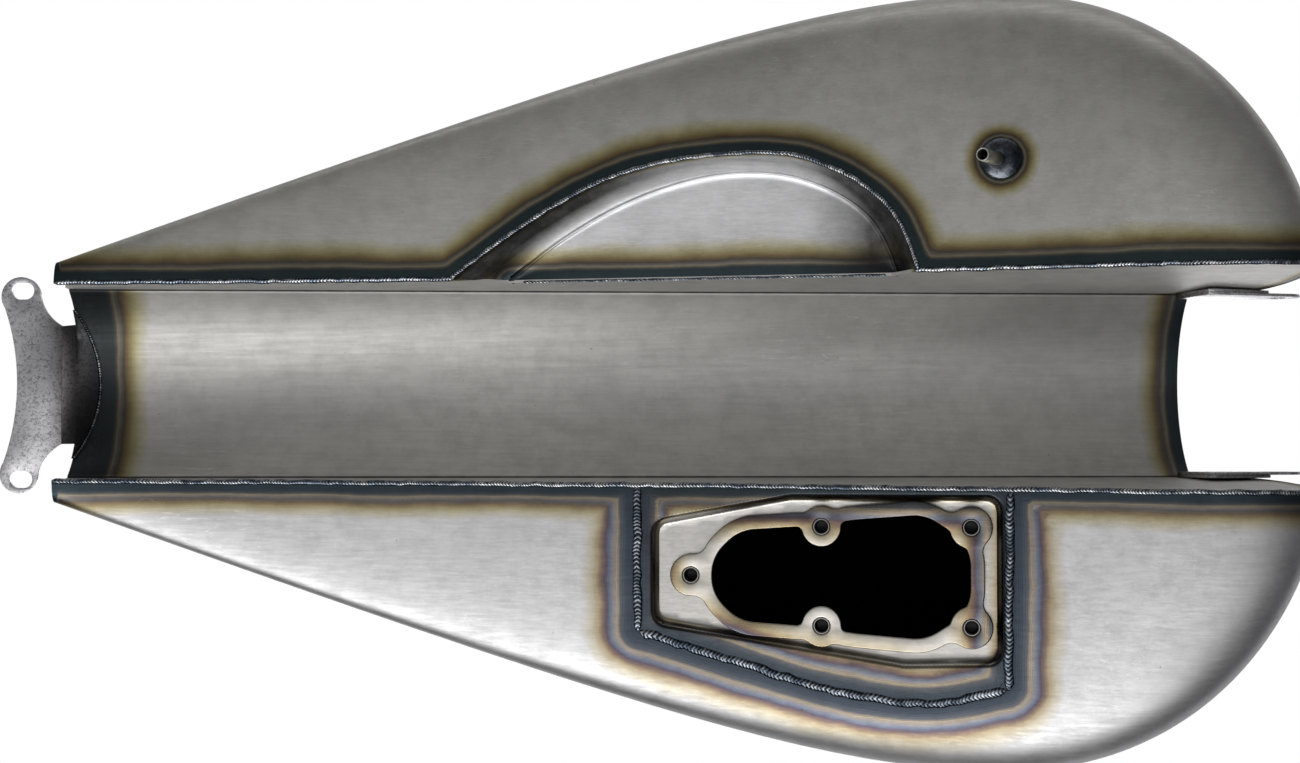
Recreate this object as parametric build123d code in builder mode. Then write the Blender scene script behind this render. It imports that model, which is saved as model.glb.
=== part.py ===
from build123d import *
import os
from math import cos, hypot, pi, radians, sin, sqrt

# Stretched one-piece motorcycle fuel tank in welded sheet steel, with a flush pop-up screw-in cap.
# Millimetres. The origin is on the front mounting bolt's axis, in the middle of the tank.
# +X points to the front of the motorcycle, +Y to the rider's left and +Z up.

os.makedirs("parts", exist_ok=True)

# ---- Driving dimensions -------------------------------------------------------------------

SHEET = 1.5  # sheet steel of the whole tank
TAIL_X = -630.0  # flat rear end of the tank
WIDE_X = -161.0  # widest station, where the nose begins
NOSE_X = -0.5  # apex that the two lobes' noses point to
HALF_WIDTH = 191.5
TAPER = 0.366  # straight slope of the sides towards the tail, in plan
TAPER_EASE = 129.0  # length over which that slope starts
CROWN_TAIL_Z = 33.0
CROWN_RISE = 67.0
CROWN_POWER = 1.5
WAIST_TAIL_Z = -36.0  # height of the widest line
WAIST_DROP = 14.0
BELLY_TAIL_Z = -47.0  # height of the underside
BELLY_DROP = 62.0
BELLY_RUN = 550.0
NOSE_POWER = 2.18  # superellipse powers of the nose and of the cross-section
NOSE_BELLY_POWER = 4.0
UPPER_POWER = 2.3
LOWER_POWER = 5.0
NOSE_SWEEP = radians(78)  # how far round the nose the lofted sections go

ARCH_X = -44.0  # front end of the tunnel's arch
TUNNEL_HALF = 48.7  # half-width at the crease between arch and side walls
ARCH_RISE = 25.0
CREASE_TAIL_Z = -20.0
CREASE_FRONT_Z = 10.0
WALL_FLARE = 0.045
TUNNEL_LOW_Z = -150.0
NOTCH_TOP_Z = 150.0
NOTCH_FRONT_X = 20.0

PUMP_X = -247.0  # middle pair of the pump flange's screws
PUMP_Y = 95.5
PUMP_FRONT_U = 72.0  # front pair, measured forward from the middle pair
PUMP_REAR_U = -64.0  # single rear screw
PUMP_HALF_PITCH = 24.0  # half the distance across a pair
PUMP_BOSS_R = 10.3
PUMP_RIM = 7.0
PUMP_OPENING_ROUND = 20.0
PUMP_SCALLOP_ROUND = 3.0
PUMP_RIM_ROUND = 7.0
PUMP_RECESS_ROUND = 7.0
PATCH_REACH = 30.0  # how far cutting shapes stand off the underside each way
PUMP_RECESS = 4.5
PUMP_RING = 3.5
INSERT_R = 4.1
INSERT_BORE_R = 3.1
INSERT_LENGTH = 11.0
INSERT_BORE_DEPTH = 9.0

POCKET_X = -306.0
POCKET_DEPTH = 16.0
POCKET_CENTRE_V = -50.0

VENT_R = 3.175
VENT_BORE_R = 2.525
VENT_MOUTH = (-174.0, -104.5, -115.0)
VENT_BOSS_X = -161.1
VENT_BOSS_Y = -105.8
VENT_KNEE = (-147.0, -106.5, -62.0)
VENT_TOP = (-118.0, -72.0, 74.0)
VENT_BEND_R = 14.0
VENT_BOSS_R = 10.0
VENT_BOSS_HEIGHT = 2.6
VENT_BOSS_ROOT = 4.0
VENT_BOSS_EDGE = 0.6
VENT_DRILL = 45.0

BRACKET_THICK = 3.0
BRACKET_Z = 4.0  # underside of the flat part
BRACKET_BEND_X = -640.0
BRACKET_NECK = 31.1
BRACKET_BOW = 0.4  # how much the flat part still bows at the bend
BACK_X = -672.0  # the rear edge's two ends and its middle
BACK_Y = 45.0
BACK_MID_X = -663.6
SLOT_X = -661.0
SLOT_HALF_PITCH = 49.7
SLOT_LENGTH = 12.0
SLOT_WIDTH = 9.1
EAR_R = 10.3
EAR_X = -662.0
EAR_Y = 46.7
EAR_FRONT_X = -651.8
EAR_FRONT_Y = 47.0
HOLLOW_X = -648.0  # middle of the curve between ear and neck
HOLLOW_Y = 38.0
FLANGE_HALF = 44.0
REAR_WELD_DEPTH = 10.0

TAB_INNER = 45.6  # inner face of the front tabs
TAB_THICK = 1.5
DOUBLER_THICK = 1.6
TAB_R = 11.0
TAB_BORE_R = 4.2
TAB_REAR_X = -51.0
TAB_LOW_Z = -24.0
DOUBLER_FRONT_X = -8.0
TAB_SLOPE = 8.0
TAB_LOW_REACH = 6.0  # how far the plate goes in front of the arch, at its foot and at its top
TAB_TOP_REACH = 10.0
TAB_TOP_RISE = 4.0

NECK_R = 37.0
NECK_TOP = 1.0  # how far the filler neck stands above the crown
NECK_SEAT = 11.0  # depth of the gasket seat below the crown
NECK_DEPTH = 30.0
NECK_RECESS_R = 33.3
NECK_BORE_R = 26.0
NECK_WALL = 5.0
NECK_SKIRT = 14.0
NECK_SHOULDER = 18.0
CAP_GAP = 0.3
GASKET = 2.0
GASKET_SIDE_GAP = 0.6
SEAL_R = 25.0
SEAL_WIDTH = 2.5
SEAL = 1.0
CAP_FLOOR = 4.0  # depth of the cup in the cap's head below the crown
PLUNGER_BORE_R = 20.05
PLUNGER_R = 20.0
PLUNGER_WAIST_R = 19.0
PLUNGER_HOLLOW_R = 17.0
COVER_R = 29.0
COVER_GAP = 0.4
COVER_RIM = 0.5
DOME_TOP = 3.0
POP_TRAVEL = 10.0
BALL_R = 2.0
BALL_GAP = 0.05
CLIP_R = 21.2
CLIP_WIDTH = 1.0
CLIP_GAP = 0.3
CLIP_OPENING = (6.0, 5.0)
VALVE_R = 4.0
VALVE_BORE_R = 1.0
VALVE_LIP = 1.5
SPRING_WIRE_R = 0.8
SPRING_R = 12.0
SPRING_PITCH = 4.0

CROWN_Z = CROWN_TAIL_Z + CROWN_RISE
SEAT_Z = CROWN_Z - NECK_SEAT
NECK_FOOT_Z = CROWN_Z - NECK_DEPTH
HEAD_Z = SEAT_Z + GASKET
CUP_Z = CROWN_Z - CAP_FLOOR
STEM_FOOT_Z = NECK_FOOT_Z + 3
STEM_FLOOR_Z = STEM_FOOT_Z + 3
COVER_UNDER_Z = CUP_Z + 1.05
CLIP_Z = CUP_Z - 1.6
FOOT_TOP_Z = CLIP_Z - POP_TRAVEL - 0.5
PLUNGER_FOOT_Z = FOOT_TOP_Z - 3


# ---- Outer form ---------------------------------------------------------------------------


def belly_z(x):
    return BELLY_TAIL_Z - BELLY_DROP * ((x - TAIL_X) / BELLY_RUN) ** 2


def belly_slope(x):
    return -2 * BELLY_DROP * (x - TAIL_X) / BELLY_RUN**2


def station(x, inset):
    """Half-width, crown, waist and belly height of the section at x, drawn in by inset."""
    waist = WAIST_TAIL_Z - WAIST_DROP * (x - TAIL_X) / BELLY_RUN
    half = HALF_WIDTH - inset
    up = CROWN_TAIL_Z + CROWN_RISE - inset - waist
    down = waist - belly_z(x) - inset
    if x <= WIDE_X:
        back = WIDE_X - x
        half -= TAPER * (sqrt(back**2 + TAPER_EASE**2) - TAPER_EASE)
        up -= CROWN_RISE * (back / (WIDE_X - TAIL_X)) ** CROWN_POWER
    else:
        reach = (x - WIDE_X) / (NOSE_X - inset - WIDE_X)
        half *= (1 - reach**NOSE_POWER) ** (1 / NOSE_POWER)
        up *= (1 - reach**NOSE_POWER) ** (1 / NOSE_POWER)
        down *= (1 - reach**NOSE_BELLY_POWER) ** (1 / NOSE_BELLY_POWER)
    return half, waist + up, waist, waist - down


def stations(inset):
    """Stations along the tank, closer together round the nose."""
    rear = TAIL_X - (5 if inset else 0)
    spans = 8
    xs = [rear + (WIDE_X - rear) * i / spans for i in range(spans + 1)]
    nose = NOSE_X - inset - WIDE_X
    turns = 7
    xs += [WIDE_X + nose * sin(NOSE_SWEEP * i / turns) ** (2 / NOSE_POWER) for i in range(1, turns + 1)]
    return xs


def quarter(half, rise, power, count=8):
    """Points of a quarter superellipse, from the side at half to the middle at rise."""
    angles = [pi / 2 * i / count for i in range(1, count)]
    inner = [(half * cos(a) ** (2 / power), rise * sin(a) ** (2 / power)) for a in angles]
    return [(half, 0), *inner, (0, rise)]


def loaf(inset):
    """The closed form of the tank without its tunnel."""
    with BuildPart() as form:
        for x in stations(inset):
            half, crown, waist, belly = station(x, inset)
            upper = [(y, waist + z) for y, z in quarter(half, crown - waist, UPPER_POWER)]
            lower = [(y, waist - z) for y, z in quarter(half, waist - belly, LOWER_POWER)]
            right = [*reversed(upper), *lower[1:]]
            left = [(-y, z) for y, z in reversed(right[1:-1])]
            with BuildSketch(Plane.YZ.offset(x)):
                with BuildLine():
                    Spline(*right, *left, periodic=True)
                make_face()
        loft()
    return form.part


def crease_z(x):
    rise = CREASE_FRONT_Z - CREASE_TAIL_Z
    return CREASE_TAIL_Z + rise * (x - TAIL_X) / (ARCH_X - TAIL_X)


def channel(grow):
    """The tunnel for the frame's backbone, with the notch for the steering neck."""
    with BuildPart() as space:
        for x in (TAIL_X - 5, NOTCH_FRONT_X):
            crease = crease_z(x)
            half = TUNNEL_HALF + grow
            low = half + WALL_FLARE * (crease - TUNNEL_LOW_Z)
            with BuildSketch(Plane.YZ.offset(x)):
                with BuildLine():
                    ThreePointArc((-half, crease), (0, crease + ARCH_RISE + grow), (half, crease))
                    Polyline((half, crease), (low, TUNNEL_LOW_Z), (-low, TUNNEL_LOW_Z), (-half, crease))
                make_face()
        loft(ruled=True)
        with BuildSketch(Plane.XY):
            with Locations(((ARCH_X - grow + NOTCH_FRONT_X) / 2, 0)):
                Rectangle(NOTCH_FRONT_X - ARCH_X + grow, 2 * (TUNNEL_HALF + grow))
        extrude(amount=NOTCH_TOP_Z)
    return space.part


outer_form = loaf(0)
inner_form = loaf(SHEET)
tunnel_space = channel(0)
tunnel_outside = channel(SHEET)

with BuildPart() as skin:
    add(outer_form)
    add(inner_form, mode=Mode.SUBTRACT)
    add(tunnel_outside, mode=Mode.SUBTRACT)


# ---- Pump panel, in the left lobe's underside ---------------------------------------------

pump_slope = belly_slope(PUMP_X)
pump_plane = Plane((PUMP_X, PUMP_Y, belly_z(PUMP_X)), (1, 0, pump_slope), (-pump_slope, 0, 1))
pump_pairs = [(u, v) for u in (0, PUMP_FRONT_U) for v in (-PUMP_HALF_PITCH, PUMP_HALF_PITCH)]
pump_screws = [(PUMP_REAR_U, 0)] + pump_pairs

with BuildPart() as pump_patch:
    with BuildSketch(pump_plane.offset(-PATCH_REACH)):
        with BuildLine():
            Line((91, -75), (-90, -75))
            Line((-90, -75), (-90, 27.5))
            Spline((-90, 27.5), (-46, 40.6), (6, 55.4), (50, 60.6), (89, 53.5))
            Line((89, 53.5), (91, -75))
        make_face()
    extrude(amount=2 * PATCH_REACH)


def pump_recess(grow):
    with BuildPart() as dish:
        with BuildSketch(pump_plane.offset(-PATCH_REACH)) as outline:
            with BuildLine():
                Polyline((-82, -26), (-15, -38.5), (86, -38.5), (86, 40.5), (40, 42), (-82, 23), close=True)
            make_face()
            fillet(outline.vertices(), PUMP_RECESS_ROUND)
            if grow:
                offset(amount=grow)
        extrude(amount=PATCH_REACH + PUMP_RECESS + grow)
    return dish.part


with BuildSketch() as pump_opening:
    with BuildLine():
        Polyline((-53.5, -9), (-40, -22), (-10, -24), (18, -27.5), (50, -30), (71.5, -16),
                 (71.5, 16), (50, 30), (18, 27.5), (-10, 24), (-40, 22), (-53.5, 9), close=True)
    make_face()
    offset(amount=-PUMP_OPENING_ROUND)
    offset(amount=PUMP_OPENING_ROUND)
    with Locations(*pump_pairs[:2]):
        Circle(PUMP_BOSS_R - 0.7, mode=Mode.SUBTRACT)
    with Locations(*pump_pairs[2:]):
        Circle(PUMP_BOSS_R, mode=Mode.SUBTRACT)
    offset(amount=-PUMP_SCALLOP_ROUND)
    offset(amount=2 * PUMP_SCALLOP_ROUND)
    offset(amount=-PUMP_SCALLOP_ROUND)

with BuildSketch() as pump_rim:
    add(pump_opening.sketch)
    offset(amount=PUMP_RIM)
    with Locations(*pump_screws):
        Circle(PUMP_BOSS_R)
    offset(amount=PUMP_RIM_ROUND)
    offset(amount=-PUMP_RIM_ROUND)

with BuildPart() as pump_panel:
    add(skin.part)
    add(pump_patch.part, mode=Mode.INTERSECT)
    add(pump_recess(SHEET), mode=Mode.SUBTRACT)
    add(pump_recess(SHEET))
    add(pump_recess(0), mode=Mode.SUBTRACT)
    add(outer_form, mode=Mode.INTERSECT)
    with BuildSketch(pump_plane):
        add(pump_opening.sketch)
        with Locations(*pump_screws):
            Circle(INSERT_R)
    extrude(amount=PUMP_RECESS + 2 * SHEET, mode=Mode.SUBTRACT)

with BuildPart() as pump_flange_ring:
    with BuildSketch(pump_plane.offset(PUMP_RECESS - PUMP_RING)):
        add(pump_rim.sketch)
        add(pump_opening.sketch, mode=Mode.SUBTRACT)
        with Locations(*pump_screws):
            Circle(INSERT_R, mode=Mode.SUBTRACT)
    extrude(amount=PUMP_RING)

with BuildPart() as pump_screw_inserts:
    with BuildSketch(pump_plane.offset(PUMP_RECESS - PUMP_RING)):
        with Locations(*pump_screws):
            Circle(INSERT_R)
    extrude(amount=INSERT_LENGTH)
    with BuildSketch(pump_plane.offset(PUMP_RECESS - PUMP_RING)):
        with Locations(*pump_screws):
            Circle(INSERT_BORE_R)
    extrude(amount=INSERT_BORE_DEPTH, mode=Mode.SUBTRACT)


# ---- Relief pocket, in the right lobe's underside -----------------------------------------

pocket_slope = belly_slope(POCKET_X)
pocket_plane = Plane((POCKET_X, 0, belly_z(POCKET_X)), (1, 0, pocket_slope), (-pocket_slope, 0, 1))
POCKET_RIM = [(-131, -46), (-77, -84.4), (-37, -103.3), (12.5, -111.5), (53, -108.5), (92, -85),
              (109, -46)]
POCKET_FOLD = [(-103, -46), (-68, -73.5), (-28, -94), (13, -103.8), (50, -100.5), (83, -81), (99, -46)]


def let_out(points, grow):
    """An arched outline's points, let out by grow from the middle of its straight side."""
    spread = []
    for u, v in points:
        reach = hypot(u, v - POCKET_CENTRE_V)
        spread.append((u * (1 + grow / reach), v + (v - POCKET_CENTRE_V) * grow / reach))
    return spread


def pocket(grow):
    with BuildPart() as hollow:
        for points, depth in ((POCKET_RIM, 0), (POCKET_FOLD, POCKET_DEPTH + grow)):
            outline = let_out(points, grow)
            with BuildSketch(pocket_plane.offset(depth)):
                with BuildLine():
                    Spline(*outline)
                    Line(outline[-1], outline[0])
                make_face()
        loft()
        extrude(hollow.faces().sort_by(Axis.Z)[0], amount=20)
    return hollow.part


pocket_space = pocket(0)
pocket_outside = pocket(SHEET)

with BuildPart() as relief_pocket:
    add(pocket_outside)
    add(pocket_space, mode=Mode.SUBTRACT)
    add(tunnel_outside, mode=Mode.SUBTRACT)
    add(outer_form, mode=Mode.INTERSECT)


# ---- Vent pipe ----------------------------------------------------------------------------

vent_axis = (Vector(*VENT_MOUTH) - Vector(*VENT_KNEE)).normalized()

with BuildPart() as vent_tube:
    with BuildLine():
        FilletPolyline(VENT_MOUTH, VENT_KNEE, VENT_TOP, radius=VENT_BEND_R)
    with BuildSketch(Plane(VENT_MOUTH, z_dir=vent_axis)):
        Circle(VENT_R)
        Circle(VENT_BORE_R, mode=Mode.SUBTRACT)
    sweep()

with BuildPart() as vent_drill:
    with BuildSketch(Plane(VENT_MOUTH, z_dir=-vent_axis)):
        Circle(VENT_R)
    extrude(amount=VENT_DRILL)

with BuildPart() as vent_boss:
    boss_slope = belly_slope(VENT_BOSS_X)
    boss_middle = (VENT_BOSS_X, VENT_BOSS_Y, belly_z(VENT_BOSS_X))
    boss_plane = Plane(boss_middle, (1, 0, boss_slope), (boss_slope, 0, -1))
    with BuildSketch(boss_plane.offset(-VENT_BOSS_ROOT)):
        Circle(VENT_BOSS_R)
    with BuildSketch(boss_plane.offset(VENT_BOSS_EDGE)):
        Circle(VENT_BOSS_R)
    with BuildSketch(boss_plane.offset(VENT_BOSS_HEIGHT)):
        Circle(VENT_BOSS_R - VENT_BOSS_ROOT)
    loft(ruled=True)
    add(outer_form, mode=Mode.SUBTRACT)
    add(vent_drill.part, mode=Mode.SUBTRACT)


# ---- Filler neck --------------------------------------------------------------------------

filler_plane = Plane((WIDE_X, 0, 0), (1, 0, 0), (0, -1, 0))


def turned(*points):
    """A turned piece: a closed profile of (radius, height) turned about the filler's axis."""
    with BuildPart() as piece:
        with BuildSketch(filler_plane):
            with BuildLine():
                Polyline(*points, close=True)
            make_face()
        revolve(axis=Axis((WIDE_X, 0, 0), (0, 0, 1)))
    return piece.part


with BuildPart() as filler_neck:
    add(turned((NECK_RECESS_R, CROWN_Z + NECK_TOP), (NECK_R, CROWN_Z + NECK_TOP),
               (NECK_R, CROWN_Z - NECK_SKIRT), (NECK_BORE_R + NECK_WALL, CROWN_Z - NECK_SHOULDER),
               (NECK_BORE_R + NECK_WALL, NECK_FOOT_Z), (NECK_BORE_R, NECK_FOOT_Z), (NECK_BORE_R, SEAT_Z),
               (NECK_RECESS_R, SEAT_Z)))

with BuildPart() as filler_hole:
    with BuildSketch(Plane.XY.offset(CROWN_Z - NECK_DEPTH - 5)):
        with Locations((WIDE_X, 0)):
            Circle(NECK_R)
    extrude(amount=NECK_DEPTH + 10)


# ---- Body panels --------------------------------------------------------------------------

with BuildPart() as shell_left:
    add(skin.part)
    split(bisect_by=Plane.XZ, keep=Keep.BOTTOM)
    add(pump_patch.part, mode=Mode.SUBTRACT)
    add(filler_hole.part, mode=Mode.SUBTRACT)

with BuildPart() as shell_right:
    add(skin.part)
    split(bisect_by=Plane.XZ, keep=Keep.TOP)
    add(pocket_outside, mode=Mode.SUBTRACT)
    add(vent_drill.part, mode=Mode.SUBTRACT)
    add(filler_hole.part, mode=Mode.SUBTRACT)

with BuildPart() as tunnel_arch:
    for x in (TAIL_X, ARCH_X):
        crease = crease_z(x)
        outside = TUNNEL_HALF + SHEET
        with BuildSketch(Plane.YZ.offset(x)):
            with BuildLine():
                ThreePointArc((-outside, crease), (0, crease + ARCH_RISE + SHEET), (outside, crease))
                Line((outside, crease), (TUNNEL_HALF, crease))
                ThreePointArc((TUNNEL_HALF, crease), (0, crease + ARCH_RISE), (-TUNNEL_HALF, crease))
                Line((-TUNNEL_HALF, crease), (-outside, crease))
            make_face()
    loft(ruled=True)


def tunnel_side(side):
    """One wall of the tunnel, which goes on up to the crown beside the steering neck's notch."""
    with BuildPart() as wall:
        for x in (TAIL_X, NOTCH_FRONT_X):
            crease = crease_z(x)
            foot = TUNNEL_HALF + WALL_FLARE * (crease - TUNNEL_LOW_Z)
            with BuildSketch(Plane.YZ.offset(x)):
                with BuildLine():
                    Polyline((side * TUNNEL_HALF, crease), (side * (TUNNEL_HALF + SHEET), crease),
                             (side * (foot + SHEET), TUNNEL_LOW_Z), (side * foot, TUNNEL_LOW_Z), close=True)
                make_face()
        loft(ruled=True)
        with BuildSketch(Plane.XZ.offset(-side * TUNNEL_HALF)):
            with BuildLine():
                Polyline((ARCH_X, crease_z(ARCH_X)), (NOTCH_FRONT_X, crease_z(NOTCH_FRONT_X)),
                         (NOTCH_FRONT_X, NOTCH_TOP_Z), (ARCH_X, NOTCH_TOP_Z), close=True)
            make_face()
        extrude(amount=-side * SHEET)
        add(outer_form, mode=Mode.INTERSECT)
    return wall.part


with BuildPart() as tunnel_side_left:
    add(tunnel_side(1))

with BuildPart() as tunnel_side_right:
    add(tunnel_side(-1))
    add(pocket_space, mode=Mode.SUBTRACT)

with BuildPart() as neck_panel:
    with BuildSketch(Plane.YZ.offset(ARCH_X - SHEET)):
        with Locations((0, NOTCH_TOP_Z / 2)):
            Rectangle(2 * (TUNNEL_HALF + SHEET), NOTCH_TOP_Z)
    extrude(amount=SHEET)
    add(outer_form, mode=Mode.INTERSECT)
    with BuildSketch(Plane.YZ.offset(ARCH_X - SHEET)):
        crease = crease_z(ARCH_X)
        outside = TUNNEL_HALF + SHEET
        with BuildLine():
            ThreePointArc((-outside, crease), (0, crease + ARCH_RISE + SHEET), (outside, crease))
            Polyline((outside, crease), (outside, -50), (-outside, -50), (-outside, crease))
        make_face()
    extrude(amount=SHEET, mode=Mode.SUBTRACT)

with BuildPart() as tail_panel:
    with BuildSketch(Plane.YZ.offset(TAIL_X)):
        Rectangle(4 * HALF_WIDTH, 4 * HALF_WIDTH)
    extrude(amount=SHEET)
    add(inner_form, mode=Mode.INTERSECT)
    add(tunnel_outside, mode=Mode.SUBTRACT)


# ---- Rear mounting bracket ----------------------------------------------------------------

arch_radius = (TUNNEL_HALF**2 + ARCH_RISE**2) / (2 * ARCH_RISE)


def arc_height(y):
    """How far the arch lies below its top at y."""
    return arch_radius - sqrt(arch_radius**2 - y**2)


def strip(x, half, top, rise):
    """A curved sheet's section, half wide each way, whose underside rises to top in the middle."""
    low = top - rise
    with BuildSketch(Plane.YZ.offset(x)) as section:
        with BuildLine():
            ThreePointArc((-half, low), (0, top), (half, low))
            Line((half, low), (half, low + BRACKET_THICK))
            ThreePointArc((half, low + BRACKET_THICK), (0, top + BRACKET_THICK), (-half, low + BRACKET_THICK))
            Line((-half, low + BRACKET_THICK), (-half, low))
        make_face()
    return section.sketch


def arch_strip(x, half):
    """A section that hugs the underside of the arch."""
    return strip(x, half, crease_z(x) + ARCH_RISE - BRACKET_THICK, arc_height(half))


flange_sections = [arch_strip(TAIL_X, FLANGE_HALF), arch_strip(TAIL_X + REAR_WELD_DEPTH, FLANGE_HALF)]
bend_section = strip(BRACKET_BEND_X, BRACKET_NECK, BRACKET_Z + BRACKET_BOW, BRACKET_BOW)

with BuildPart() as rear_mount_bracket:
    loft(flange_sections, ruled=True)
    with BuildSketch(Plane.XY.offset(-40)):
        with Locations((TAIL_X - 70, 0)):
            Circle(70 + REAR_WELD_DEPTH)
    extrude(amount=80, mode=Mode.INTERSECT)
    loft([arch_strip(TAIL_X, BRACKET_NECK), bend_section], ruled=True)
    with BuildSketch(Plane.XY.offset(BRACKET_Z)):
        with BuildLine():
            ThreePointArc((BACK_X, BACK_Y), (BACK_MID_X, 0), (BACK_X, -BACK_Y))
            Polyline((BACK_X, -BACK_Y), (EAR_X, -EAR_Y), (EAR_FRONT_X, -EAR_FRONT_Y))
            ThreePointArc((EAR_FRONT_X, -EAR_FRONT_Y), (HOLLOW_X, -HOLLOW_Y), (BRACKET_BEND_X, -BRACKET_NECK))
            Line((BRACKET_BEND_X, -BRACKET_NECK), (BRACKET_BEND_X, BRACKET_NECK))
            ThreePointArc((BRACKET_BEND_X, BRACKET_NECK), (HOLLOW_X, HOLLOW_Y), (EAR_FRONT_X, EAR_FRONT_Y))
            Polyline((EAR_FRONT_X, EAR_FRONT_Y), (EAR_X, EAR_Y), (BACK_X, BACK_Y))
        make_face()
        with Locations((EAR_X, EAR_Y), (EAR_X, -EAR_Y)):
            Circle(EAR_R)
        with Locations((SLOT_X, SLOT_HALF_PITCH), (SLOT_X, -SLOT_HALF_PITCH)):
            SlotOverall(SLOT_LENGTH, SLOT_WIDTH, mode=Mode.SUBTRACT)
    extrude(amount=BRACKET_THICK)


# ---- Front mounting tabs ------------------------------------------------------------------


def side_plate(inner, thick, front_x):
    """An upright plate beside the notch, from inner outwards, with its mounting end left square."""
    with BuildPart() as plate:
        with BuildSketch(Plane.XZ.offset(-inner)):
            with BuildLine():
                Polyline((TAB_REAR_X, crease_z(TAB_REAR_X)), (TAB_REAR_X + TAB_SLOPE, TAB_LOW_Z),
                         (ARCH_X + TAB_LOW_REACH, TAB_LOW_Z), (front_x, -TAB_R), (front_x, TAB_R),
                         (ARCH_X + TAB_TOP_REACH, TAB_R + TAB_TOP_RISE), (ARCH_X, crease_z(ARCH_X)),
                         close=True)
            make_face()
        extrude(amount=-thick)
    return plate.part


def front_tab(side):
    with BuildPart() as tab:
        add(side_plate(TAB_INNER, TAB_THICK, 0))
        with BuildSketch(Plane.XZ.offset(-TAB_INNER)):
            Circle(TAB_R)
        extrude(amount=-TAB_THICK)
        with BuildSketch(Plane.XZ.offset(-TAB_INNER)):
            Circle(TAB_BORE_R)
        extrude(amount=-TAB_THICK, mode=Mode.SUBTRACT)
    return tab.part if side > 0 else mirror(tab.part, about=Plane.XZ)


def front_doubler(side):
    doubler = side_plate(TAB_INNER + TAB_THICK, DOUBLER_THICK, DOUBLER_FRONT_X)
    return doubler if side > 0 else mirror(doubler, about=Plane.XZ)


with BuildPart() as front_tab_left:
    add(front_tab(1))
with BuildPart() as front_tab_right:
    add(front_tab(-1))
with BuildPart() as front_tab_doubler_left:
    add(front_doubler(1))
with BuildPart() as front_tab_doubler_right:
    add(front_doubler(-1))


# ---- Pop-up cap ---------------------------------------------------------------------------

dome_rise = DOME_TOP - COVER_RIM
dome_radius = (COVER_R**2 + dome_rise**2) / (2 * dome_rise)
dome_mid = DOME_TOP - dome_radius + sqrt(dome_radius**2 - (COVER_R / 2) ** 2)

with BuildPart() as cap_body:
    add(turned((0, STEM_FOOT_Z), (NECK_BORE_R - CAP_GAP, STEM_FOOT_Z), (NECK_BORE_R - CAP_GAP, HEAD_Z),
               (NECK_RECESS_R - CAP_GAP, HEAD_Z), (NECK_RECESS_R - CAP_GAP, CROWN_Z),
               (COVER_R + COVER_GAP, CROWN_Z), (COVER_R + COVER_GAP, CUP_Z), (PLUNGER_BORE_R, CUP_Z),
               (PLUNGER_BORE_R, CLIP_Z + CLIP_WIDTH), (CLIP_R, CLIP_Z + CLIP_WIDTH), (CLIP_R, CLIP_Z),
               (PLUNGER_BORE_R, CLIP_Z), (PLUNGER_BORE_R, STEM_FLOOR_Z), (0, STEM_FLOOR_Z)))
    with BuildSketch(Plane.XY.offset(STEM_FOOT_Z)):
        with Locations((WIDE_X, 0)):
            Circle(VALVE_R)
    extrude(amount=STEM_FLOOR_Z - STEM_FOOT_Z, mode=Mode.SUBTRACT)
    with Locations(Location((WIDE_X, 0, (FOOT_TOP_Z + PLUNGER_FOOT_Z) / 2))):
        with PolarLocations(PLUNGER_BORE_R + BALL_R + BALL_GAP, 3):
            Sphere(BALL_R, mode=Mode.SUBTRACT)

with BuildPart() as cap_detent_balls:
    with Locations(Location((WIDE_X, 0, (FOOT_TOP_Z + PLUNGER_FOOT_Z) / 2))):
        with PolarLocations(PLUNGER_BORE_R + BALL_R + BALL_GAP, 3):
            Sphere(BALL_R)

with BuildPart() as cap_vent_valve:
    add(turned((0, STEM_FOOT_Z - VALVE_LIP), (VALVE_R + VALVE_LIP, STEM_FOOT_Z - VALVE_LIP),
               (VALVE_R + VALVE_LIP, STEM_FOOT_Z), (VALVE_R, STEM_FOOT_Z), (VALVE_R, STEM_FLOOR_Z + 1),
               (VALVE_BORE_R, STEM_FLOOR_Z + 1), (VALVE_BORE_R, STEM_FOOT_Z), (0, STEM_FOOT_Z)))

with BuildPart() as cap_circlip:
    add(turned((PLUNGER_WAIST_R + CLIP_GAP, CLIP_Z), (CLIP_R, CLIP_Z), (CLIP_R, CLIP_Z + CLIP_WIDTH),
               (PLUNGER_WAIST_R + CLIP_GAP, CLIP_Z + CLIP_WIDTH)))
    with BuildSketch(Plane.XY.offset(CLIP_Z)):
        with Locations((WIDE_X - PLUNGER_R, 0)):
            Rectangle(*CLIP_OPENING)
    extrude(amount=CLIP_WIDTH, mode=Mode.SUBTRACT)

with BuildPart() as cap_cover_seal:
    add(turned((SEAL_R, CUP_Z), (SEAL_R + SEAL_WIDTH, CUP_Z), (SEAL_R + SEAL_WIDTH, CUP_Z + SEAL),
               (SEAL_R, CUP_Z + SEAL)))

with BuildPart() as cap_gasket:
    add(turned((NECK_BORE_R + GASKET_SIDE_GAP, SEAT_Z), (NECK_RECESS_R - GASKET_SIDE_GAP, SEAT_Z),
               (NECK_RECESS_R - GASKET_SIDE_GAP, HEAD_Z), (NECK_BORE_R + GASKET_SIDE_GAP, HEAD_Z)))

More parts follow.
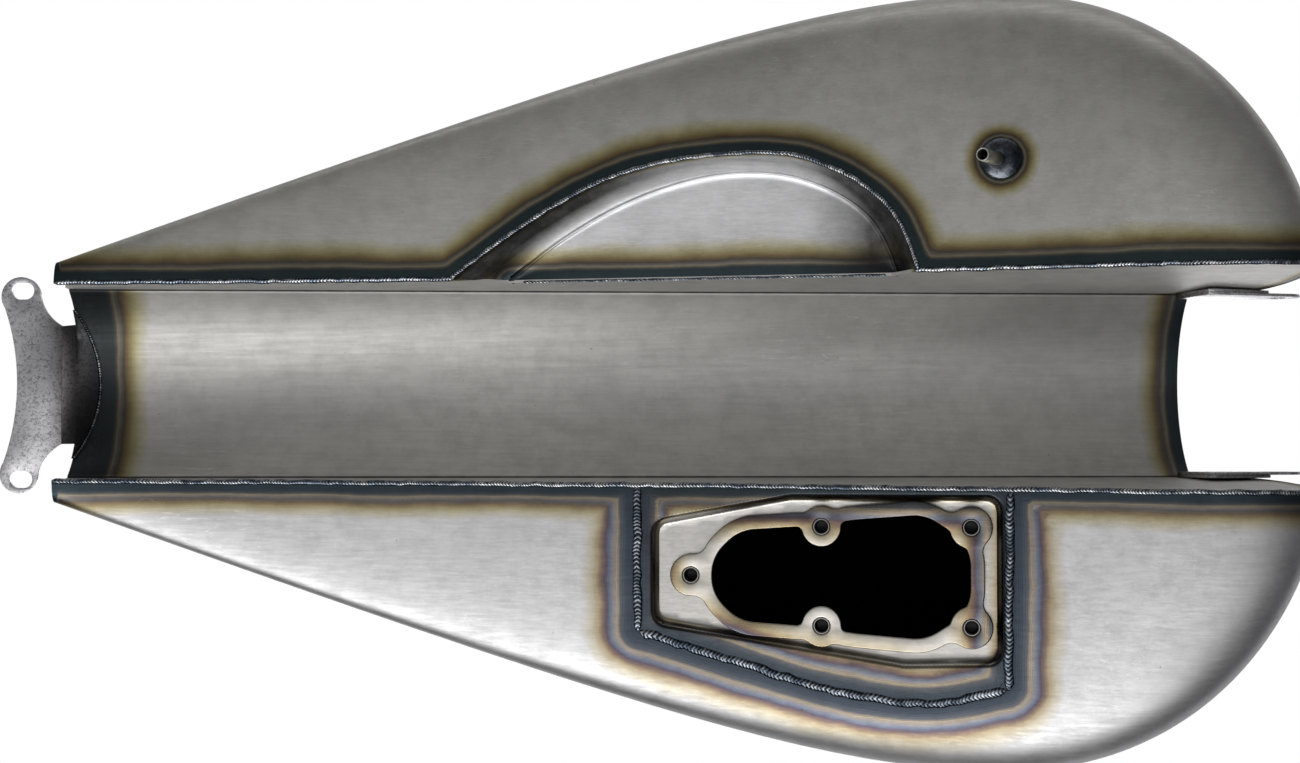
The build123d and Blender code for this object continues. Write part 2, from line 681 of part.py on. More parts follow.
with BuildPart() as cap_cover:
    with BuildSketch(filler_plane):
        with BuildLine():
            Polyline((0, COVER_UNDER_Z), (PLUNGER_HOLLOW_R, COVER_UNDER_Z),
                     (PLUNGER_HOLLOW_R, PLUNGER_FOOT_Z), (PLUNGER_R, PLUNGER_FOOT_Z), (PLUNGER_R, FOOT_TOP_Z),
                     (PLUNGER_WAIST_R, FOOT_TOP_Z), (PLUNGER_WAIST_R, COVER_UNDER_Z),
                     (COVER_R, COVER_UNDER_Z), (COVER_R, CROWN_Z + COVER_RIM))
            ThreePointArc((COVER_R, CROWN_Z + COVER_RIM), (COVER_R / 2, CROWN_Z + dome_mid),
                          (0, CROWN_Z + DOME_TOP))
            Line((0, CROWN_Z + DOME_TOP), (0, COVER_UNDER_Z))
        make_face()
    revolve(axis=Axis((WIDE_X, 0, 0), (0, 0, 1)))

spring_low = STEM_FLOOR_Z + SPRING_WIRE_R
spring_high = COVER_UNDER_Z - SPRING_WIRE_R
with BuildPart() as cap_spring:
    with BuildLine(Plane.XY):
        Helix(SPRING_PITCH, spring_high - spring_low, SPRING_R, center=(WIDE_X, 0, spring_low))
    spring_start = Plane((WIDE_X + SPRING_R, 0, spring_low), z_dir=(0, 1, SPRING_PITCH / (2 * pi * SPRING_R)))
    with BuildSketch(spring_start):
        Circle(SPRING_WIRE_R)
    sweep(is_frenet=True)


# ---- Export -------------------------------------------------------------------------------

pieces = {
    "shell_left": shell_left,
    "shell_right": shell_right,
    "tunnel_arch": tunnel_arch,
    "tunnel_side_left": tunnel_side_left,
    "tunnel_side_right": tunnel_side_right,
    "neck_panel": neck_panel,
    "tail_panel": tail_panel,
    "rear_mount_bracket": rear_mount_bracket,
    "relief_pocket": relief_pocket,
    "pump_panel": pump_panel,
    "pump_flange_ring": pump_flange_ring,
    "pump_screw_inserts": pump_screw_inserts,
    "vent_tube": vent_tube,
    "vent_boss": vent_boss,
    "filler_neck": filler_neck,
    "front_tab_left": front_tab_left,
    "front_tab_right": front_tab_right,
    "front_tab_doubler_left": front_tab_doubler_left,
    "front_tab_doubler_right": front_tab_doubler_right,
    "cap_body": cap_body,
    "cap_cover": cap_cover,
    "cap_spring": cap_spring,
    "cap_gasket": cap_gasket,
    "cap_cover_seal": cap_cover_seal,
    "cap_circlip": cap_circlip,
    "cap_detent_balls": cap_detent_balls,
    "cap_vent_valve": cap_vent_valve,
}

for name, piece in pieces.items():
    piece.part.label = name
    export_step(piece.part, f"parts/{name}.step")
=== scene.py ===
import math
import bmesh
import bpy
import numpy as np
from mathutils import Matrix, Vector, kdtree
from mathutils.geometry import delaunay_2d_cdt


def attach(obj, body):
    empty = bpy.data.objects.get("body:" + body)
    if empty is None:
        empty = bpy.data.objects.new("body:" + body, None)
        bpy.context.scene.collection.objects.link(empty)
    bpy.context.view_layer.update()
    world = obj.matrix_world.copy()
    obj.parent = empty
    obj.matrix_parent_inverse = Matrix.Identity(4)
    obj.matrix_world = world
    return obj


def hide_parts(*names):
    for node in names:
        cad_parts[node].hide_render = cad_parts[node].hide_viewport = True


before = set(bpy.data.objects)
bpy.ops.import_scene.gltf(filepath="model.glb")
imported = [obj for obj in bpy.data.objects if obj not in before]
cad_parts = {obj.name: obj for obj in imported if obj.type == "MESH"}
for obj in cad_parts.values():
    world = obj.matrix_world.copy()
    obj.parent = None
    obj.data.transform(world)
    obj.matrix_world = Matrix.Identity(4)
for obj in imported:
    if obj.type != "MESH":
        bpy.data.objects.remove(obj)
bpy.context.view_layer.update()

# Stretched motorcycle fuel tank in bare welded steel, seen from below.
# Shapes are worked out in millimetres in the row frame and turned to metres as meshes are made.

MM = 0.001
SHEET = 1.5

# ---- The tank's form, as in the design ----

TAIL_X = -630.0
WIDE_X = -161.0
NOSE_X = -0.5
HALF_WIDTH = 191.5
TAPER = 0.366
TAPER_EASE = 129.0
CROWN_TAIL_Z = 33.0
CROWN_RISE = 67.0
CROWN_POWER = 1.5
WAIST_TAIL_Z = -36.0
WAIST_DROP = 14.0
BELLY_TAIL_Z = -47.0
BELLY_DROP = 62.0
BELLY_RUN = 550.0
NOSE_POWER = 2.18
NOSE_BELLY_POWER = 4.0
UPPER_POWER = 2.3
LOWER_POWER = 5.0
ARCH_X = -44.0
TUNNEL_HALF = 48.7
ARCH_RISE = 25.0
CREASE_TAIL_Z = -20.0
CREASE_FRONT_Z = 10.0
WALL_FLARE = 0.045
ARCH_R = (TUNNEL_HALF**2 + ARCH_RISE**2) / (2 * ARCH_RISE)


def belly_z(x):
    return BELLY_TAIL_Z - BELLY_DROP * ((x - TAIL_X) / BELLY_RUN) ** 2


def belly_slope(x):
    return -2 * BELLY_DROP * (x - TAIL_X) / BELLY_RUN**2


def crease_z(x):
    return CREASE_TAIL_Z + (CREASE_FRONT_Z - CREASE_TAIL_Z) * (x - TAIL_X) / (ARCH_X - TAIL_X)


def station(x):
    """Half-width, crown, waist and belly height of the cross-section at x."""
    waist = WAIST_TAIL_Z - WAIST_DROP * (x - TAIL_X) / BELLY_RUN
    half = HALF_WIDTH
    up = CROWN_TAIL_Z + CROWN_RISE - waist
    down = waist - belly_z(x)
    if x <= WIDE_X:
        back = WIDE_X - x
        half -= TAPER * (math.hypot(back, TAPER_EASE) - TAPER_EASE)
        up -= CROWN_RISE * (back / (WIDE_X - TAIL_X)) ** CROWN_POWER
    else:
        reach = (x - WIDE_X) / (NOSE_X - WIDE_X)
        half *= (1 - reach**NOSE_POWER) ** (1 / NOSE_POWER)
        up *= (1 - reach**NOSE_POWER) ** (1 / NOSE_POWER)
        down *= (1 - reach**NOSE_BELLY_POWER) ** (1 / NOSE_BELLY_POWER)
    return half, waist + up, waist, waist - down


def wall_y(x, z):
    """Distance of the tunnel's side wall from the middle, at height z."""
    return TUNNEL_HALF + WALL_FLARE * np.maximum(crease_z(x) - z, 0)


def section(x, samples=1500):
    """Half a cross-section: (y, z) from the middle of the crown round the side to the middle of the belly."""
    half, crown, waist, belly = station(x)
    turn = np.linspace(0, math.pi / 2, samples)
    rising, falling = np.sin(turn), np.cos(turn)
    falling[-1] = 0
    above, below = 2 / UPPER_POWER, 2 / LOWER_POWER
    upper = np.stack([half * rising**above, waist + (crown - waist) * falling**above], 1)
    lower = np.stack([half * falling**below, waist - (waist - belly) * rising**below], 1)
    return np.concatenate([upper, lower[1:]])


def skin_z(x, y):
    """Height of the underside at (x, y)."""
    half, _, waist, belly = station(x)
    return waist - (waist - belly) * (1 - min(abs(y) / half, 1) ** LOWER_POWER) ** (1 / LOWER_POWER)


def travel(points):
    """Distance along a path, from its start to each point."""
    steps = np.linalg.norm(np.diff(points, axis=0), axis=1)
    return np.concatenate([[0], np.cumsum(steps)])


def resample(points, count=None, step=None):
    """The same path with evenly spaced points."""
    points = np.asarray(points, float)
    along = travel(points)
    if count is None:
        count = max(2, int(round(along[-1] / step)) + 1)
    wanted = np.linspace(0, along[-1], count)
    return np.stack([np.interp(wanted, along, points[:, k]) for k in range(points.shape[1])], 1)


SPLINE_STEPS = 40


def curve(points, step=1.0):
    """A smooth path through a few points."""
    p = np.asarray(points, float)
    knots = np.concatenate([[0], np.cumsum(np.linalg.norm(np.diff(p, axis=0), axis=1) ** 0.5)])
    slope = np.zeros_like(p)
    for i in range(1, len(p) - 1):
        before, after = knots[i] - knots[i - 1], knots[i + 1] - knots[i]
        arriving, leaving = (p[i] - p[i - 1]) / before, (p[i + 1] - p[i]) / after
        slope[i] = (arriving * after + leaving * before) / (before + after)
    slope[0] = 1.5 * (p[1] - p[0]) / (knots[1] - knots[0]) - 0.5 * slope[1]
    slope[-1] = 1.5 * (p[-1] - p[-2]) / (knots[-1] - knots[-2]) - 0.5 * slope[-2]
    found = []
    for i in range(len(p) - 1):
        h = knots[i + 1] - knots[i]
        t = np.linspace(0, 1, SPLINE_STEPS)[:, None]
        found.append((2 * t**3 - 3 * t**2 + 1) * p[i] + (t**3 - 2 * t**2 + t) * h * slope[i]
                     + (3 * t**2 - 2 * t**3) * p[i + 1] + (t**3 - t**2) * h * slope[i + 1])
    return resample(np.concatenate(found), step=step)


# ---- Meshes ----


def grid_faces(rows, cols):
    index = np.arange(rows * cols).reshape(rows, cols)
    corners = [index[:-1, :-1], index[1:, :-1], index[1:, 1:], index[:-1, 1:]]
    return np.stack(corners, -1).reshape(-1, 4).tolist()


def place(name, data):
    """A new object of this mesh, light or camera in the scene."""
    obj = bpy.data.objects.new(name, data)
    bpy.context.scene.collection.objects.link(obj)
    return obj


def gather(name, parts):
    """A mesh of (points in mm, faces) parts."""
    points, faces = [], []
    for part_points, part_faces in parts:
        faces += [[i + len(points) for i in face] for face in part_faces]
        points += [tuple(p) for p in np.asarray(part_points, float) * MM]
    mesh = bpy.data.meshes.new(name)
    mesh.from_pydata(points, [], faces)
    return mesh


WELD_REACH = 0.002 * MM


def clean(mesh):
    """Joins doubled points and drops faces that have no area."""
    bm = bmesh.new()
    bm.from_mesh(mesh)
    bmesh.ops.remove_doubles(bm, verts=bm.verts, dist=WELD_REACH)
    bmesh.ops.dissolve_degenerate(bm, edges=bm.edges, dist=0.001 * MM)
    bm.to_mesh(mesh)
    bm.free()


def face_outward(mesh):
    bm = bmesh.new()
    bm.from_mesh(mesh)
    bmesh.ops.recalc_face_normals(bm, faces=bm.faces)
    bm.to_mesh(mesh)
    bm.free()


def make(name, parts, flip=False):
    """An object from (points in mm, faces) parts."""
    mesh = gather(name, parts)
    mesh.update()
    clean(mesh)
    obj = place(name, mesh)
    if flip:
        mesh.flip_normals()
    return obj


def sheets(*grids):
    """Grid arrays of shape (rows, cols, 3) as parts for make()."""
    return [(g.reshape(-1, 3), grid_faces(g.shape[0], g.shape[1])) for g in grids]


def prism(name, outline, low, high):
    """A closed cutter between an outline's two copies."""
    count = len(outline)
    points = [low(p) for p in outline] + [high(p) for p in outline]
    faces = [list(range(count)), list(range(2 * count - 1, count - 1, -1))]
    faces += [[i, i + count, (i + 1) % count + count, (i + 1) % count] for i in range(count)]
    obj = make(name, [(points, faces)])
    face_outward(obj.data)
    return obj


def settle(obj):
    """Applies the object's modifiers."""
    graph = bpy.context.evaluated_depsgraph_get()
    mesh = bpy.data.meshes.new_from_object(obj.evaluated_get(graph))
    obj.modifiers.clear()
    obj.data = mesh


def thicken(obj, material):
    """Gives a sheet its thickness on the side away from its normals, and near-black painted shade there."""
    obj.data.materials.append(material)
    obj.data.materials.append(INSIDE_PAINTED_SHADE)
    solid = obj.modifiers.new("thickness", "SOLIDIFY")
    solid.thickness = SHEET * MM
    solid.offset = -1
    solid.use_even_offset = True
    solid.material_offset = 1


def cut(obj, *cutters):
    for cutter in cutters:
        boolean = obj.modifiers.new("cut", "BOOLEAN")
        boolean.operation = "DIFFERENCE"
        boolean.solver = "EXACT"
        boolean.object = cutter


def discard(*objects):
    for obj in objects:
        bpy.data.objects.remove(obj)


def finish_piece(obj, material, slot, nodes=(), body="tank", sharp=40, heat=None, calm=None, shade=None):
    """Smooth shading, heat tint, material, its body and the hiding of the design solids it replaces, for a
    finished piece.

    heat and calm are paint_heat's. shade gives each point's darkness, 0 to 1, mostly painted shade and in
    places soot.
    """
    mesh = obj.data
    mesh.polygons.foreach_set("use_smooth", np.ones(len(mesh.polygons), bool))
    mesh.set_sharp_from_angle(angle=math.radians(sharp))
    co = np.zeros(len(mesh.vertices) * 3, np.float32)
    mesh.vertices.foreach_get("co", co)
    co = co.reshape(-1, 3) / MM
    if heat is not None:
        paint_heat(mesh, co, heat, calm)
    if shade is not None:
        # Mostly painted shade, with soot in places, kept for the materials to mix in.
        store(mesh, "painted_shade_and_soot", np.clip(shade(co), 0, 1))
    if not mesh.materials:
        mesh.materials.append(material)
    if nodes:
        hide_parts(*nodes)
    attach(obj, body)


def reach_to(co, points):
    """Distance of each point in co from a path."""
    tree = kdtree.KDTree(len(points))
    for i, p in enumerate(points):
        tree.insert(Vector(p), i)
    tree.balance()
    return np.array([tree.find(Vector(p))[2] for p in co.tolist()])


def store(mesh, name, values):
    """Keeps one number for each point, which the materials read by its name."""
    mesh.attributes.new(name, "FLOAT", "POINT").data.foreach_set("value", np.asarray(values, np.float32))


def paint_heat(mesh, co, seams, calm):
    """Stores each point's distance from the nearest weld, 0 at the weld and 1 where its tint ends.

    Each seam is (path, width of its tint, black width before it, paleness of its tint). calm gives how many
    times further off each point counts.
    """
    gain = 1.0 if calm is None else calm(co)
    heats = [np.maximum(reach_to(co, points) - inner, 0) * gain / width for points, width, inner, _ in seams]
    nearness = np.array([(h + 0.05) ** -6 for h in heats])  # the nearest seam's paleness nearly decides
    pale = (nearness * np.array([seam[3] for seam in seams])[:, None]).sum(0) / nearness.sum(0)
    store(mesh, "weld_heat", np.minimum(np.min(heats, axis=0), 3.0))
    store(mesh, "weld_pale", pale)


# ---- Materials ----


class Shader:
    """A node material while it is put together."""

    def __init__(self, name, roughness=0.4, metallic=1.0):
        self.material = bpy.data.materials.new(name)
        self.material.use_nodes = True
        self.tree = self.material.node_tree
        self.tree.nodes.clear()
        self.bsdf = self.add("ShaderNodeBsdfPrincipled")
        output = self.add("ShaderNodeOutputMaterial")
        self.link(self.bsdf.outputs[0], output.inputs[0])
        self.bsdf.inputs["Metallic"].default_value = metallic
        self.bsdf.inputs["Roughness"].default_value = roughness
        self.place = self.add("ShaderNodeTexCoord").outputs["Object"]

    def add(self, kind):
        return self.tree.nodes.new(kind)

    def link(self, source, target):
        self.tree.links.new(source, target)

    def give(self, value, target):
        if isinstance(value, bpy.types.NodeSocket):
            self.link(value, target)
        elif isinstance(value, tuple):
            target.default_value = (*value, 1) if len(value) == 3 else value
        else:
            target.default_value = value

    def stretched(self, scale, turn=0.0):
        node = self.add("ShaderNodeMapping")
        self.link(self.place, node.inputs["Vector"])
        node.inputs["Rotation"].default_value = (0, 0, turn)
        node.inputs["Scale"].default_value = scale
        return node.outputs[0]

    def noise(self, scale, detail=4.0, rough=0.55, where=None):
        node = self.add("ShaderNodeTexNoise")
        self.link(where or self.place, node.inputs["Vector"])
        node.inputs["Scale"].default_value = scale
        node.inputs["Detail"].default_value = detail
        node.inputs["Roughness"].default_value = rough
        return node.outputs[0]

    def attribute(self, name):
        node = self.add("ShaderNodeAttribute")
        node.attribute_name = name
        return node.outputs["Fac"]

    def math(self, operation, a, b=0.0, clamp=False):
        node = self.add("ShaderNodeMath")
        node.operation = operation
        node.use_clamp = clamp
        self.give(a, node.inputs[0])
        self.give(b, node.inputs[1])
        return node.outputs[0]

    def remap(self, value, low, high, to_low=0.0, to_high=1.0):
        node = self.add("ShaderNodeMapRange")
        self.give(value, node.inputs["Value"])
        node.inputs["From Min"].default_value = low
        node.inputs["From Max"].default_value = high
        node.inputs["To Min"].default_value = to_low
        node.inputs["To Max"].default_value = to_high
        return node.outputs[0]

    def mix(self, factor, a, b, blend="MIX"):
        node = self.add("ShaderNodeMix")
        node.data_type = "RGBA"
        node.blend_type = blend
        self.give(factor, node.inputs[0])
        self.give(a, node.inputs[6])
        self.give(b, node.inputs[7])
        return node.outputs[2]

    def ramp(self, value, stops):
        node = self.add("ShaderNodeValToRGB")
        self.give(value, node.inputs[0])
        elements = node.color_ramp.elements
        elements.remove(elements[1])
        elements[0].position = stops[0][0]
        for place, _ in stops[1:]:
            elements.new(place)
        for element, (_, colour) in zip(elements, stops):
            element.color = (*colour, 1)
        return node.outputs["Color"]

    def finish(self, colour, roughness=None, height=None, depth=0.1, strength=0.6):
        self.give(colour, self.bsdf.inputs["Base Color"])
        if roughness is not None:
            self.give(roughness, self.bsdf.inputs["Roughness"])
        if height is not None:
            bump = self.add("ShaderNodeBump")
            bump.inputs["Strength"].default_value = strength
            bump.inputs["Distance"].default_value = depth * MM
            self.link(height, bump.inputs["Height"])
            self.link(bump.outputs[0], self.bsdf.inputs["Normal"])
        return self.material


DARK_TINTS = [
    (0.00, (0.050, 0.078, 0.090)),
    (0.25, (0.052, 0.074, 0.084)),
    (0.30, (0.15, 0.145, 0.12)),
    (0.34, (0.38, 0.33, 0.24)),
    (0.39, (0.24, 0.22, 0.20)),
    (0.45, (0.13, 0.112, 0.085)),
    (0.53, (0.32, 0.235, 0.12)),
    (0.62, (0.50, 0.425, 0.22)),
    (0.71, (0.68, 0.62, 0.38)),
    (0.82, (0.86, 0.81, 0.62)),
    (1.00, (1.0, 1.0, 1.0)),
]
PALE_TINTS = [
    (0.00, (0.055, 0.072, 0.090)),
    (0.20, (0.090, 0.110, 0.140)),
    (0.31, (0.16, 0.17, 0.19)),
    (0.36, (0.48, 0.41, 0.31)),
    (0.42, (0.40, 0.37, 0.36)),
    (0.47, (0.24, 0.28, 0.36)),
    (0.54, (0.17, 0.14, 0.18)),
    (0.61, (0.34, 0.25, 0.19)),
    (0.68, (0.60, 0.50, 0.33)),
    (0.80, (0.82, 0.76, 0.61)),
    (1.00, (1.0, 1.0, 1.0)),
]
SOOT_TINTS = [
    (0.00, (0.05, 0.055, 0.06)),
    (0.25, (0.09, 0.092, 0.10)),
    (0.55, (0.30, 0.28, 0.27)),
    (1.00, (1.0, 1.0, 1.0)),
]
SCRATCH_RUNS = ((0.35, 1.0), (-0.9, 1.6), (1.35, 1.25))  # (angle, fineness)


def scaled(colour, share):
    """A colour made lighter or darker, within white."""
    return tuple(min(1.0, share * c) for c in colour)


def steel(name, base, rough=0.42, grain_scale=(14, 620, 620), grain=0.12, scratch=0.5, pits=0.0, turn=0.0,
          metallic=1.0, tints=DARK_TINTS):
    """Bare sheet steel: cloudy, brushed, scratched and specked, with heat tint beside welds, and painted
    shade and soot where points carry them.
    """
    s = Shader(name, rough, metallic)
    clouds = s.noise(6.0, 5.0, 0.62)
    mottle = s.noise(85.0, 5.0, 0.68)
    brushed = s.noise(1.0, 4.0, 0.65, s.stretched(grain_scale, turn))
    hair = s.noise(1.0, 3.0, 0.7, s.stretched((60, 1500, 1500), turn + 0.12))
    colour = s.mix(s.remap(clouds, 0.32, 0.68), scaled(base, 0.84), scaled(base, 1.10))
    colour = s.mix(s.remap(mottle, 0.42, 0.72, 0.0, 0.5), colour, scaled(base, 0.62))
    colour = s.mix(s.remap(brushed, 0.38, 0.66, 0.0, grain * 2), colour, scaled(base, 0.58))
    colour = s.mix(s.remap(hair, 0.5, 0.75, 0.0, grain * 2.4), colour, scaled(base, 1.35))
    patches = s.remap(s.noise(11.0, 3.0, 0.6), 0.50, 0.68)
    for angle, finer in SCRATCH_RUNS:
        marks = s.noise(1.0, 2.0, 0.5, s.stretched((9 * finer, 130 * finer, 130 * finer), turn + angle))
        marks = s.math("ABSOLUTE", s.math("SUBTRACT", marks, 0.5))
        marks = s.math("MULTIPLY", s.remap(marks, 0.0, 0.0040, scratch, 0.0), patches)
        colour = s.mix(marks, colour, (0.86, 0.86, 0.84))
    specks = s.remap(s.noise(420.0, 2.0, 0.6), 0.745, 0.80, 0.0, 0.6)
    colour = s.mix(specks, colour, (0.10, 0.09, 0.08))
    roughness = s.remap(clouds, 0.3, 0.7, rough - 0.05, rough + 0.07)
    roughness = s.math("ADD", roughness, s.remap(brushed, 0.3, 0.7, -0.05, 0.06))
    if pits:
        pitting = s.noise(640.0, 4.0, 0.8)
        holes = s.remap(pitting, 0.49, 0.60, 0.0, pits)
        colour = s.mix(holes, colour, scaled(base, 0.30))
        brushed = s.math("SUBTRACT", brushed, s.math("MULTIPLY", holes, 2.5))
    wander = s.math("ADD", s.noise(16.0, 2.0, 0.5), s.math("MULTIPLY", s.noise(75.0, 3.0, 0.6), 0.30))
    far = s.math("MULTIPLY", s.attribute("weld_heat"), s.remap(wander, 0.45, 0.85, 0.88, 1.12))
    tint = s.mix(s.attribute("weld_pale"), s.ramp(far, tints), s.ramp(far, PALE_TINTS))
    lines = s.add("ShaderNodeTexNoise")
    lines.noise_dimensions = "1D"
    s.link(s.math("ADD", s.math("MULTIPLY", far, 26.0), s.math("MULTIPLY", clouds, 9.0)), lines.inputs["W"])
    lines.inputs["Detail"].default_value = 3.0
    near = s.remap(far, 0.35, 0.9, 1.0, 0.0)
    streak = s.remap(lines.outputs[0], 0.32, 0.68, 0.60, 1.45)
    tint = s.mix(near, tint, s.mix(1.0, tint, streak, "MULTIPLY"))
    colour = s.mix(1.0, colour, tint, "MULTIPLY")
    # The stored darkness paints shade, and soot in places, towards near-black.
    painted_shade_and_soot = s.math("MULTIPLY", s.attribute("painted_shade_and_soot"), s.remap(mottle, 0.3, 0.7, 0.86, 1.0))
    colour = s.mix(painted_shade_and_soot, colour, (0.016, 0.016, 0.016))
    roughness = s.math("SUBTRACT", roughness, s.math("MULTIPLY", near, 0.10))
    return s.finish(colour, roughness, brushed, 0.035, 0.35)


def weld_metal(name, tone, slit):
    """Welds: blue-grey tops of the ripples, some bright as bare metal and as painted glints, over blue-black
    valleys.
    """
    s = Shader(name, 0.26)
    ripple = s.attribute("ripple")
    cloud = s.noise(110.0, 4.0, 0.65)
    dull, bright = scaled((0.11, 0.135, 0.17), tone), scaled((0.56, 0.60, 0.66), tone)
    tops = s.mix(s.remap(cloud, 0.40, 0.66), dull, bright)
    ripple = s.math("ADD", ripple, s.remap(s.noise(420.0, 3.0, 0.6), 0.3, 0.7, -0.16, 0.16))
    colour = s.mix(s.remap(ripple, slit, slit + 0.42), (0.012, 0.017, 0.024), tops)
    return s.finish(colour, s.remap(cloud, 0.3, 0.7, 0.20, 0.34), s.noise(900.0, 2.0, 0.5), 0.05, 0.3)


def plain_metal(name, base, rough, wear=0.1):
    """Turned or drawn metal with faint clouds and fine lines, and painted shade where points carry it."""
    s = Shader(name, rough)
    cloud = s.noise(45.0, 4.0, 0.6)
    fine = s.noise(1.0, 2.0, 0.5, s.stretched((900, 900, 2600)))
    colour = s.mix(s.remap(cloud, 0.3, 0.7), scaled(base, 1 - wear), base)
    # Painted shade from the stored darkness, towards near-black.
    colour = s.mix(s.attribute("painted_shade_and_soot"), colour, (0.008, 0.008, 0.008))
    roughness = s.remap(cloud, 0.3, 0.7, rough * 0.85, rough * 1.2)
    roughness = s.math("ADD", roughness, s.remap(fine, 0.3, 0.7, -0.03, 0.03))
    return s.finish(colour, roughness, fine, 0.02, 0.25)


def rubber(name):
    s = Shader(name, 0.55, 0.0)
    cloud = s.noise(120.0, 4.0, 0.6)
    colour = s.mix(cloud, (0.018, 0.018, 0.019), (0.032, 0.031, 0.030))
    return s.finish(colour, s.remap(cloud, 0.3, 0.7, 0.5, 0.68), s.noise(1400.0, 2.0, 0.5), 0.03, 0.4)


LEFT_STEEL = steel("left_shell_steel", (0.60, 0.595, 0.60))
RIGHT_STEEL = steel("right_shell_steel", (0.56, 0.555, 0.52), metallic=0.92)
TUNNEL_STEEL = steel("tunnel_sheet_steel", (0.58, 0.575, 0.555), 0.54, (10, 420, 420), 0.08, metallic=0.72)
PANEL_STEEL = steel("pressed_panel_steel", (0.62, 0.60, 0.57), 0.34, (12, 700, 700), 0.16)
POCKET_STEEL = steel("pocket_steel", (0.84, 0.84, 0.85), 0.40, (11, 520, 520), 0.20, metallic=0.72)
FLANGE_STEEL = steel("flange_ring_steel", (0.66, 0.63, 0.58), 0.32, (30, 500, 500), 0.10, 0.3)
PLATE_STEEL = steel("pitted_plate_steel", (0.66, 0.65, 0.67), 0.38, (40, 160, 160), 0.10, 0.2, 0.8, 1.3,
                    tints=SOOT_TINTS)
# A tone of 2.1 lifts the fine welds' ripple tops up to white, partly as painted glints.
SEAM_METAL = weld_metal("fine_weld_metal", 2.1, 0.30)
WELD_METAL = weld_metal("heavy_weld_metal", 0.85, 0.30)
PUDDLE_METAL = weld_metal("weld_puddle_metal", 0.30, -0.6)
INSERT_STEEL = plain_metal("threaded_insert_steel", (0.34, 0.33, 0.32), 0.32)
# Near-black painted shade for the insides of the sheets.
INSIDE_PAINTED_SHADE = plain_metal("painted_shade_inside_steel", (0.012, 0.011, 0.010), 0.75)
TUBE_STEEL = plain_metal("drawn_tube_steel", (0.52, 0.51, 0.49), 0.30)
NECK_STEEL = plain_metal("turned_neck_steel", (0.55, 0.54, 0.52), 0.28)
CAP_ALUMINIUM = plain_metal("turned_aluminium", (0.80, 0.80, 0.81), 0.30)
CAP_CHROME = plain_metal("polished_chrome", (0.86, 0.86, 0.87), 0.07, 0.03)
SPRING_STEEL = plain_metal("spring_wire_steel", (0.42, 0.42, 0.43), 0.30)
RUBBER = rubber("fuel_proof_rubber")

# ---- Shell skins and tunnel walls ----

ROW_STEP = 3.3
CROWN_COLS = 16
SIDE_COLS = 112
WALL_COLS = 16
FRONT_ROWS = 36
NOSE_ROWS = 34
PATH_STEP = 1.5


def nose_x(turn):
    return WIDE_X + (NOSE_X - WIDE_X) * math.sin(turn) ** (2 / NOSE_POWER)


def clearance(x):
    """How far the section at x stands out beyond the tunnel wall, at most."""
    points = section(x, 400)
    return float((points[:, 0] - wall_y(x, points[:, 1])).max())


def solve(goal, low, high):
    """The place between low and high where goal turns negative."""
    for _ in range(50):
        middle = (low + high) / 2
        if goal(middle) > 0:
            low = middle
        else:
            high = middle
    return low


TIP_TURN = solve(lambda turn: clearance(nose_x(turn)), 0.5, math.pi / 2)
ARCH_TURN = solve(lambda turn: ARCH_X - nose_x(turn), 0.0, math.pi / 2)
body_rows = list(np.linspace(TAIL_X, WIDE_X, int((WIDE_X - TAIL_X) / ROW_STEP)))
body_rows += [nose_x(t) for t in np.linspace(0, ARCH_TURN, FRONT_ROWS)[1:-1]] + [ARCH_X]
nose_rows = [ARCH_X] + [nose_x(t) for t in np.linspace(ARCH_TURN, TIP_TURN, NOSE_ROWS)[1:]]


def trimmed(x):
    """The section at x as a crown stretch and a side stretch, parted and then cut where it meets the wall."""
    points = section(x)
    clear = points[:, 0] - wall_y(x, points[:, 1])
    beyond = np.flatnonzero(clear > 0)
    along = travel(points)
    if len(beyond) == 0:
        first = last = along[clear.argmax()]
    else:
        a, b = beyond[0], beyond[-1]
        first = np.interp(0, [clear[a - 1], clear[a]], [along[a - 1], along[a]])
        last = np.interp(0, [clear[b + 1], clear[b]], [along[b + 1], along[b]])
    stretches = []
    for low, high, count in ((0, first, CROWN_COLS), (first, last, SIDE_COLS)):
        wanted = np.linspace(low, high, count)
        y = np.interp(wanted, along, points[:, 0])
        z = np.interp(wanted, along, points[:, 1])
        stretches.append(np.stack([np.full(count, x), y, z], 1))
    return stretches


body_sections = [trimmed(x) for x in body_rows]
nose_sections = [trimmed(x) for x in nose_rows]
crown_grid = np.array([crown for crown, _ in body_sections])
side_grid = np.array([side for _, side in body_sections])
nose_grid = np.array([side for _, side in nose_sections])


def mirrored(points):
    return np.asarray(points, float) * (1, -1, 1)


def joined(first, second):
    """Two paths as one, without the doubled point between them."""
    return np.concatenate([first, second[1:]])


edge_left = resample(joined(side_grid[:, -1], nose_grid[:, -1]), step=PATH_STEP)
edge_right = mirrored(edge_left)
notch_left = resample(nose_grid[:, 0], step=PATH_STEP)
notch_right = mirrored(notch_left)
tail_left = joined(crown_grid[0], side_grid[0])
crown_line = crown_grid[:, 0]

# ---- Planes of the pump panel and the pocket ----


